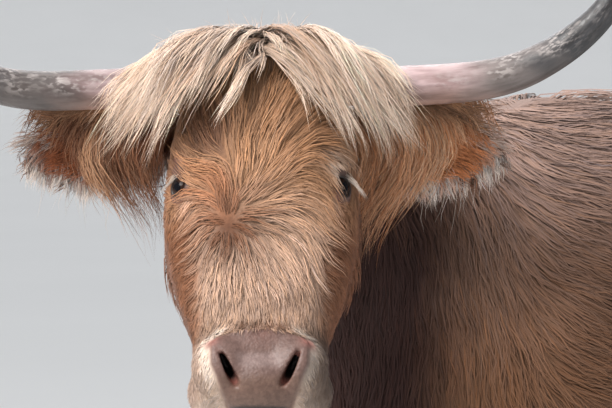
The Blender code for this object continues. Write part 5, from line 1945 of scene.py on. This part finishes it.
def ear_hair(side):
    """The fuzz in the cup of one ear, and the shag on its back."""
    _, along, upper, facing = (np.array(v) for v in ear_frame(side))

    def here(places):
        return on_ear(places) & (in_head(places)[:, 0] * side > 0)

    def in_cup(places, normals):
        return here(places) & (normals @ facing > 0.2)

    def on_rear(places, normals):
        return here(places) & (normals @ facing <= 0.2)

    def cup_lie(places, normals):
        _, up, _ = in_ear(places, side)
        flow = along * 0.8 - upper * (0.55 + 8 * up[:, None]) * 0.8 + facing * 0.35
        return along_skin(flow + ripples(places, 0.03, 67) * 0.3, normals) + facing * 0.25

    def rear_lie(places, normals):
        flow = along * 0.9 - upper * 0.6
        return along_skin(flow + ripples(places, 0.04, 68) * 0.2, normals)

    fuzz = Hair(0.024, 0.0012, 0.0031, 0.007, points=3, lift=0.007, fall=0.15, frizz=0.07, pull=0.3)
    shag = Hair(0.05, 0.002, 0.0052, 0.014, lift=0.01, fall=0.35, frizz=0.06)
    cup = grow(FORMS["skin"], FORMS["head"], fuzz, in_cup, cup_lie, 131 + side)
    cup.outward = unit(cup.outward + facing * 2)
    return cup, grow(FORMS["skin"], FORMS["head"], shag, on_rear, rear_lie, 133 + side)


CURTAIN = {
    "inner": [(0.396, 0.034, 0.004), (0.474, 0.008, 0.026), (0.504, -0.018, 0.034), (0.456, -0.046, 0.036),
              (0.36, -0.078, 0.034), (0.27, -0.112, 0.03), (0.21, -0.15, 0.026), (0.216, -0.18, 0.024)],
    "outer": [(0.56, 0.04, 0.002), (0.63, 0.016, 0.022), (0.67, -0.01, 0.03), (0.64, -0.03, 0.032),
              (0.565, -0.058, 0.032), (0.475, -0.078, 0.03), (0.385, -0.098, 0.028), (0.32, -0.118, 0.026)],
}


def ear_curtain(side):
    """Long strands that rise from the ear's upper rim, bow out over its cup and fall beside the face."""
    rng = np.random.default_rng(150 + side)
    count = 190
    root, along, upper, facing = (np.array(v) for v in ear_frame(side))
    fair = np.arange(count) % 7 == 0
    short = np.arange(count) % 3 == 1
    where = np.where(short, rng.uniform(0.4, 3, count), rng.uniform(-2.2, 0.9, count))
    where = np.where(fair, rng.uniform(-0.5, 1.4, count), where)
    limit = between(where, [(-2.2, 0.66), (-0.7, 0.95), (0.3, 0.96), (0.9, 0.66), (1.5, 0.4), (3, 0.26)])
    limit = np.where(fair, np.maximum(limit, 0.85), limit) * rng.uniform(0.75, 1, count)
    if side < 0:
        limit = limit * between(where, [(-1.2, 0.84), (-0.2, 0.92), (0.2, 1)])
        where = np.where(fair, 0.3 + 0.45 * where, where + 0.1 * ~short)
    inner, outer = np.array(CURTAIN["inner"]), np.array(CURTAIN["outer"])
    places = inner[None] + (outer - inner)[None] * where[:, None, None]
    places = read_along(places, np.linspace(0, 1, inner.shape[0])[None] * limit[:, None])
    grown = np.linspace(0, 1, inner.shape[0])[None, :, None]
    places[:, :, 0] = np.maximum(places[:, :, 0], 0.02 + 0.15 * grown[:, :, 0])
    if side < 0:
        places[:, :, 0] += 0.06 * grown[:, :, 0]
    places = places + rng.normal(0, 1, (count, 1, 3)) * np.array([0.03, 0.01, 0.006]) * grown
    places[:, :, 2] += (rng.uniform(-0.016, 0.002, (count, 1)) + 0.008 * fair[:, None]) * grown[:, :, 0]
    paths = root + places[:, :, :1] * EAR_LENGTH * along
    paths = paths + places[:, :, 1:2] * upper + places[:, :, 2:] * facing
    outward = np.broadcast_to(facing, paths.shape).copy()
    hair = Hair(0, 0.0009, 0.004, 0.01, points=6, pull=0.3, frizz=0.045, spread=(0.4, 1))
    starts = paths[:, 0]
    child_roots = np.concatenate([starts + along * rng.normal(0, 0.005, (count, 1))
                                  + facing * rng.normal(0, 0.0025, (count, 1)) for _ in range(6)])
    length = norm(np.diff(paths, axis=1), axis=2).sum(axis=1)
    found = fill_out(paths, outward, starts, length, child_roots, hair, rng)
    # Painted light and shade: her left ear's curtain is bright and golden, her right one's dark, lit and
    # shaded copies of one brown hair
    fairest, plain = rng.uniform(0.55, 1, count), rng.random(count) ** 2
    pale = np.where(fair, fairest, plain * (0.75 if side > 0 else 0.3))
    brown = np.array((0.48, 0.2, 0.09) if side > 0 else (0.13, 0.044, 0.019))
    golden_in_painted_light = np.array((0.74, 0.44, 0.27) if side > 0 else (0.6, 0.33, 0.19))
    return found, mix(brown, golden_in_painted_light, pale)[found.wisp]


def ear_fringe(side, size, colours):
    """The pale fringe of one ear's rim, the brown hair that sweeps over its top, and a few long strays."""
    rng = np.random.default_rng(140 + side)
    _, along, upper, facing = (np.array(v) for v in ear_frame(side))
    starts, headings, lengths, falls, tones = [], [], [], [], []
    # Painted light and shade: the fringe's rust is bright on her left ear and dull on her right, and the
    # silver with its paler tips is partly painted light shining through
    orange_in_painted_light, pale, tan = colours.rust * EAR_PAINTED_LIGHT[side], colours.silver_and_painted_backlight, colours.tan

    def plant(share, across, heading, length, fall, *tone):
        starts.append(tuple(ear_point(side, share, across, EAR_SHELL / 2)))
        headings.append(heading + rng.normal(0, 0.12, 3))
        lengths.append(length)
        falls.append(fall)
        tones.append(np.array(tone))

    for _ in range(130):
        share = rng.uniform(0.1, 1)
        heading = -upper * 0.9 + along * rng.uniform(-0.1, 0.6) + facing * rng.uniform(-0.1, 0.3)
        reach = size * eased(share, [(0, 0.46), (0.3, 0.42), (0.6, 0.32), (1, 0.2)])
        reach *= rng.uniform(0.55, 1.25)
        plant(share, rng.uniform(-1, -0.72), heading, reach, 0.4,
              mix(orange_in_painted_light, pale, rng.uniform(0, 0.35)), pale)
    for _ in range(90):
        share = rng.uniform(0.15, 1)
        heading = -upper + along * rng.uniform(0, 0.8) + facing * rng.uniform(0, 0.4)
        plant(share, rng.uniform(-1.02, -0.92), heading, size * rng.uniform(0.16, 0.34), 0.35,
              pale, pale * 1.5)
    for _ in range(34):
        share = rng.uniform(0.82, 1)
        heading = upper * rng.uniform(-0.3, 0.5) + along * 0.9 + facing * rng.uniform(0, 0.3)
        plant(share, rng.uniform(0.2, 1), heading, size * rng.uniform(0.16, 0.26), 0.5,
              mix(orange_in_painted_light, pale, 0.5), pale)
    for _ in range(110):
        share = rng.uniform(0.05, 0.85)
        heading = along * rng.uniform(0.5, 1) + upper * rng.uniform(0.1, 0.9)
        heading += facing * rng.uniform(0.1, 0.5)
        brown = mix(tan, colours.umber_and_painted_shade, rng.uniform(0.2, 0.9))
        plant(share, rng.uniform(0.62, 1), heading, size * rng.uniform(0.4, 0.72), 0.85,
              brown, mix(brown, tan, 0.5))
    tufts = len(starts)
    for _ in range(26):
        plant(rng.uniform(0.1, 0.92), -0.95, -upper + along * rng.uniform(-0.3, 0.5),
              size * rng.uniform(0.4, 0.85), 0.7, pale, pale * 1.4)
    starts, headings = np.array(starts), unit(np.array(headings))
    lengths, falls, tones = np.array(lengths), np.array(falls), np.array(tones)
    normals = np.broadcast_to(facing, starts.shape).copy()
    paths, outward = comb(FORMS["skin"], starts, normals, lambda places, _: headings, lengths, 6, 0.004,
                          falls, 0.002, 0.3, 0.8)
    outward = unit(outward + facing * 2)
    hair = Hair(0, 0.0008, 0.004, 0.01, pull=0.15, frizz=0.07, spread=(0.45, 1))
    child_roots = np.concatenate([starts[:tufts] + along * rng.normal(0, 0.0085, (tufts, 1))
                                  + upper * rng.normal(0, 0.003, (tufts, 1)) for _ in range(8)])
    tufted = fill_out(paths[:tufts], outward[:tufts], starts[:tufts], lengths, child_roots, hair, rng)
    rest = slice(tufts, None)
    single = fill_out(paths[rest], outward[rest], starts[rest], lengths[rest], starts[rest], hair, rng)
    single.width = single.width * 0.7
    shades = np.concatenate([tones[tufted.wisp], tones[tufts:][single.wisp]])
    return joined([tufted, single]), shades


def cover_body(context, name, hair, wanted, lie, seed, chart, roughness=0.62, buried=None, **shading):
    """Grows one kind of hair on the body, in the body's markings."""
    colours = palette(context)
    cover(f"{name}_coat", "body", hair, wanted, lie, seed, lambda roots: body_tones(roots, colours), chart,
          hair_material(f"cow_{name}_hair", roughness), buried, **shading)


def in_near_patch(places):
    """The near side of the neck and shoulder and the top of the withers, whose hair is the finest."""
    return (places[:, 1] < -0.34) & (places[:, 0] > -0.1) & (places[:, 2] > 0.7)


def above_legs(places):
    return places[:, 2] > 0.44


def off_tail(places):
    return ~((places[:, 1] > 0.715) & (np.abs(places[:, 0]) < 0.05))


class COW_OT_neck_coat(bpy.types.Operator):
    """Comb fine wavy hair down the neck and back over the near shoulder"""

    bl_idname = "cow.neck_coat"
    bl_label = "Neck and Shoulder Coat"

    def execute(self, context):
        def lift(roots):
            return between(roots[:, 2], [(1.06, 0.0045), (1.12, 0.008)])

        hair = Hair(context.scene.cow_coat.neck, 0.0026, 0.0054, 0.017, lift=lift, fall=0.12, pull=0.34,
                    frizz=0.05, wave=0.0026, wavelength=0.07, steps=6)
        cover_body(context, "shoulder", hair, lambda places, normals: in_near_patch(places), body_lie, 151,
                   body_chart, 0.72, "head", root_shade=0.94, variety=0.06, wisp_variety=0.05)
        return {"FINISHED"}


class COW_OT_flank_coat(bpy.types.Operator):
    """Comb the long coat over the barrel, the rump and the far side"""

    bl_idname = "cow.flank_coat"
    bl_label = "Flank Coat"

    def execute(self, context):
        def elsewhere(places, normals):
            return ~in_near_patch(places) & above_legs(places) & off_tail(places)

        hair = Hair(context.scene.cow_coat.flank, 0.0044, 0.0166, 0.045, lift=0.02, fall=0.28, frizz=0.04,
                    wave=0.004, wavelength=0.08, sink=0.006, steps=6)
        cover_body(context, "flank", hair, elsewhere, body_lie, 161, body_chart, buried="head",
                   variety=0.13)
        return {"FINISHED"}


class COW_OT_leg_coat(bpy.types.Operator):
    """Cover the legs, long above the knee and hock and short towards the hooves"""

    bl_idname = "cow.leg_coat"
    bl_label = "Leg Coat"

    def execute(self, context):
        coat = context.scene.cow_coat

        def on_legs(places, normals):
            return ~above_legs(places) & off_tail(places) & (places[:, 2] > 0.062)

        def length(roots):
            return coat.leg * between(roots[:, 2], [(0.06, 0.2), (0.12, 0.34), (0.25, 0.5), (0.45, 1)])

        def width(roots):
            return between(roots[:, 2], [(0.06, 0.0018), (0.3, 0.0028), (0.45, 0.004)])

        def lift(roots):
            return between(roots[:, 2], [(0.06, 0.003), (0.3, 0.008), (0.45, 0.016)])

        hair = Hair(length, width, 0.0083, 0.02, points=3, lift=lift, fall=0.3, frizz=0.05, steps=4)
        cover_body(context, "leg", hair, on_legs, body_lie, 171, leg_chart, root_shade=0.5)
        return {"FINISHED"}


class COW_OT_tail_coat(bpy.types.Operator):
    """Cover the dock, and hang the long switch at its end"""

    bl_idname = "cow.tail_coat"
    bl_label = "Tail Coat"

    def execute(self, context):
        size = context.scene.cow_coat.switch

        def on_tail(places, normals):
            return ~off_tail(places) & above_legs(places)

        def length(roots):
            return between(roots[:, 2], [(0.46, size), (0.6, size * 0.95), (0.72, 0.11), (0.95, 0.07)])

        hair = Hair(length, 0.0034, 0.007, 0.02, points=6, lift=0.012, fall=0.5, pull=0.6,
                    wave=0.004, wavelength=0.09, steps=7)
        cover_body(context, "tail", hair, on_tail, down_lie, 181, tail_chart, root_shade=0.5)
        return {"FINISHED"}


def soft_light(name, place, target, size, power, tint):
    """A large, unseen lamp that faces its target."""
    data = bpy.data.lights.new(name, "AREA")
    data.shape = "DISK"
    data.size = size
    data.energy = power
    data.color = tint
    lamp = new_object(name, data)
    lamp.location = place
    lamp.rotation_euler = (Vector(target) - Vector(place)).to_track_quat("-Z", "Y").to_euler()
    lamp.visible_camera = False


def floor_material(colours):
    nodes = Nodes("studio_floor", Roughness=0.8, Specular_IOR_Level=0.2)
    cloudy = nodes.ramp(nodes.fine(0.8), [(0.3, colours.floor * 0.98), (0.7, colours.floor)])
    nodes.to_shader("Base Color", cloudy)
    return nodes.material


def lay_floor(material):
    """A wide disc of floor that sweeps up into a wall far off on every side."""
    outline = [(6, 0), (20, 0), (SWEEP_START, 0)]
    for i in range(1, 13):
        turn = i * pi / 24
        outline.append((SWEEP_START + SWEEP_RADIUS * sin(turn), SWEEP_RADIUS - SWEEP_RADIUS * cos(turn)))
    sides = 96
    turns = [2 * pi * i / sides for i in range(sides)]
    bm = bmesh.new()
    loops = []
    for radius, height in outline:
        loops.append([bm.verts.new((radius * cos(turn), radius * sin(turn), height)) for turn in turns])
    bm.faces.new(loops[0])
    for near, far in zip(loops, loops[1:]):
        for i in range(sides):
            bm.faces.new((near[i], far[i], far[(i + 1) % sides], near[(i + 1) % sides]))
    bmesh.ops.recalc_face_normals(bm, faces=bm.faces)
    mesh = bpy.data.meshes.new("floor")
    bm.to_mesh(mesh)
    bm.free()
    mesh.shade_smooth()
    mesh.materials.append(material)
    floor = new_object("floor", mesh)


def set_camera(studio, target):
    """Points the camera at its target, and gives back the way from there to the camera."""
    level = cos(studio.elevation)
    offset = Vector((sin(studio.azimuth) * level, -cos(studio.azimuth) * level, sin(studio.elevation)))
    data = bpy.data.cameras.new("camera")
    data.sensor_width = 36
    data.lens = data.sensor_width * studio.distance / studio.span
    data.clip_end = 500
    camera = new_object("camera", data)
    camera.location = target + offset * studio.distance
    camera.rotation_euler = (-offset).to_track_quat("-Z", "Y").to_euler()
    bpy.context.scene.camera = camera
    return offset


def light_studio(studio, face, offset):
    """A key light, a weak fill, a light from behind, a soft ceiling and a pale sky."""
    right = Vector((cos(studio.azimuth), sin(studio.azimuth), 0))
    ahead, up = Vector((offset.x, offset.y, 0)).normalized(), AXIS_Z
    soft_light("key", face + ahead * 1.5 - right * 2.1 + up * 2.5, face, 2.2, studio.key, (1, 0.98, 0.95))
    soft_light("fill", face + ahead * 2.4 + right * 2.6 + up * 0.4, face, 2.5, studio.fill, (0.93, 0.96, 1))
    soft_light("back", -ahead * 2.5 - right + up * 3.2, (0, 0, 0.9), 3, studio.key * 0.3, (0.97, 0.98, 1))
    ceiling = bpy.data.lights.new("ceiling", "SUN")
    ceiling.energy = studio.ceiling
    ceiling.angle = radians(80)
    ceiling.color = (0.93, 0.95, 1)
    new_object("ceiling", ceiling)
    world = bpy.data.worlds.new("studio")
    world.use_nodes = True
    sky = world.node_tree.nodes["Background"]
    sky.inputs["Color"].default_value = (0.96, 0.98, 1, 1)
    sky.inputs["Strength"].default_value = studio.sky
    bpy.context.scene.world = world


class COW_OT_stage(bpy.types.Operator):
    """Lay a plain pale floor with a sweep far behind it, and set the soft lights and the camera"""

    bl_idname = "cow.stage"
    bl_label = "Stage"

    def execute(self, context):
        studio = context.scene.cow_studio
        lay_floor(floor_material(palette(context)))
        offset = set_camera(studio, HEAD @ LOOK_AT + LOOK_DROP + frame_shift())
        light_studio(studio, HEAD @ Vector((0, 0, 0.15)) + frame_shift(), offset)
        context.scene.view_settings.view_transform = "Standard"
        return {"FINISHED"}


STEPS = ("skin", "eyes", "lids", "horns", "hooves", "face_coat", "jaw_coat", "forelock", "ear_coat",
         "neck_coat", "flank_coat", "leg_coat", "tail_coat", "stage")


class COW_PT_panel(bpy.types.Panel):
    """Sizes, colours and the steps of dressing the cow"""

    bl_idname = "COW_PT_panel"
    bl_label = "Highland Cow"
    bl_space_type = "VIEW_3D"
    bl_region_type = "UI"
    bl_category = "Highland Cow"

    def draw(self, context):
        layout = self.layout
        scene = context.scene
        for group in (scene.cow_coat, scene.cow_colours, scene.cow_studio):
            box = layout.box()
            for name in group.__annotations__:
                box.prop(group, name)
        for name in STEPS:
            layout.operator("cow." + name)


CLASSES = (
    CowCoat, CowColours, CowStudio,
    COW_OT_skin, COW_OT_eyes, COW_OT_lids, COW_OT_horns, COW_OT_hooves, COW_OT_face_coat, COW_OT_jaw_coat,
    COW_OT_forelock, COW_OT_ear_coat, COW_OT_neck_coat, COW_OT_flank_coat, COW_OT_leg_coat,
    COW_OT_tail_coat, COW_OT_stage, COW_PT_panel,
)


def register():
    for cls in CLASSES:
        bpy.utils.register_class(cls)
    bpy.types.Scene.cow_coat = PointerProperty(type=CowCoat)
    bpy.types.Scene.cow_colours = PointerProperty(type=CowColours)
    bpy.types.Scene.cow_studio = PointerProperty(type=CowStudio)


def unregister():
    del bpy.types.Scene.cow_coat
    del bpy.types.Scene.cow_colours
    del bpy.types.Scene.cow_studio
    for cls in reversed(CLASSES):
        bpy.utils.unregister_class(cls)


def main():
    register()
    for name in STEPS:
        getattr(bpy.ops.cow, name)()


if __name__ == "__main__":
    main()
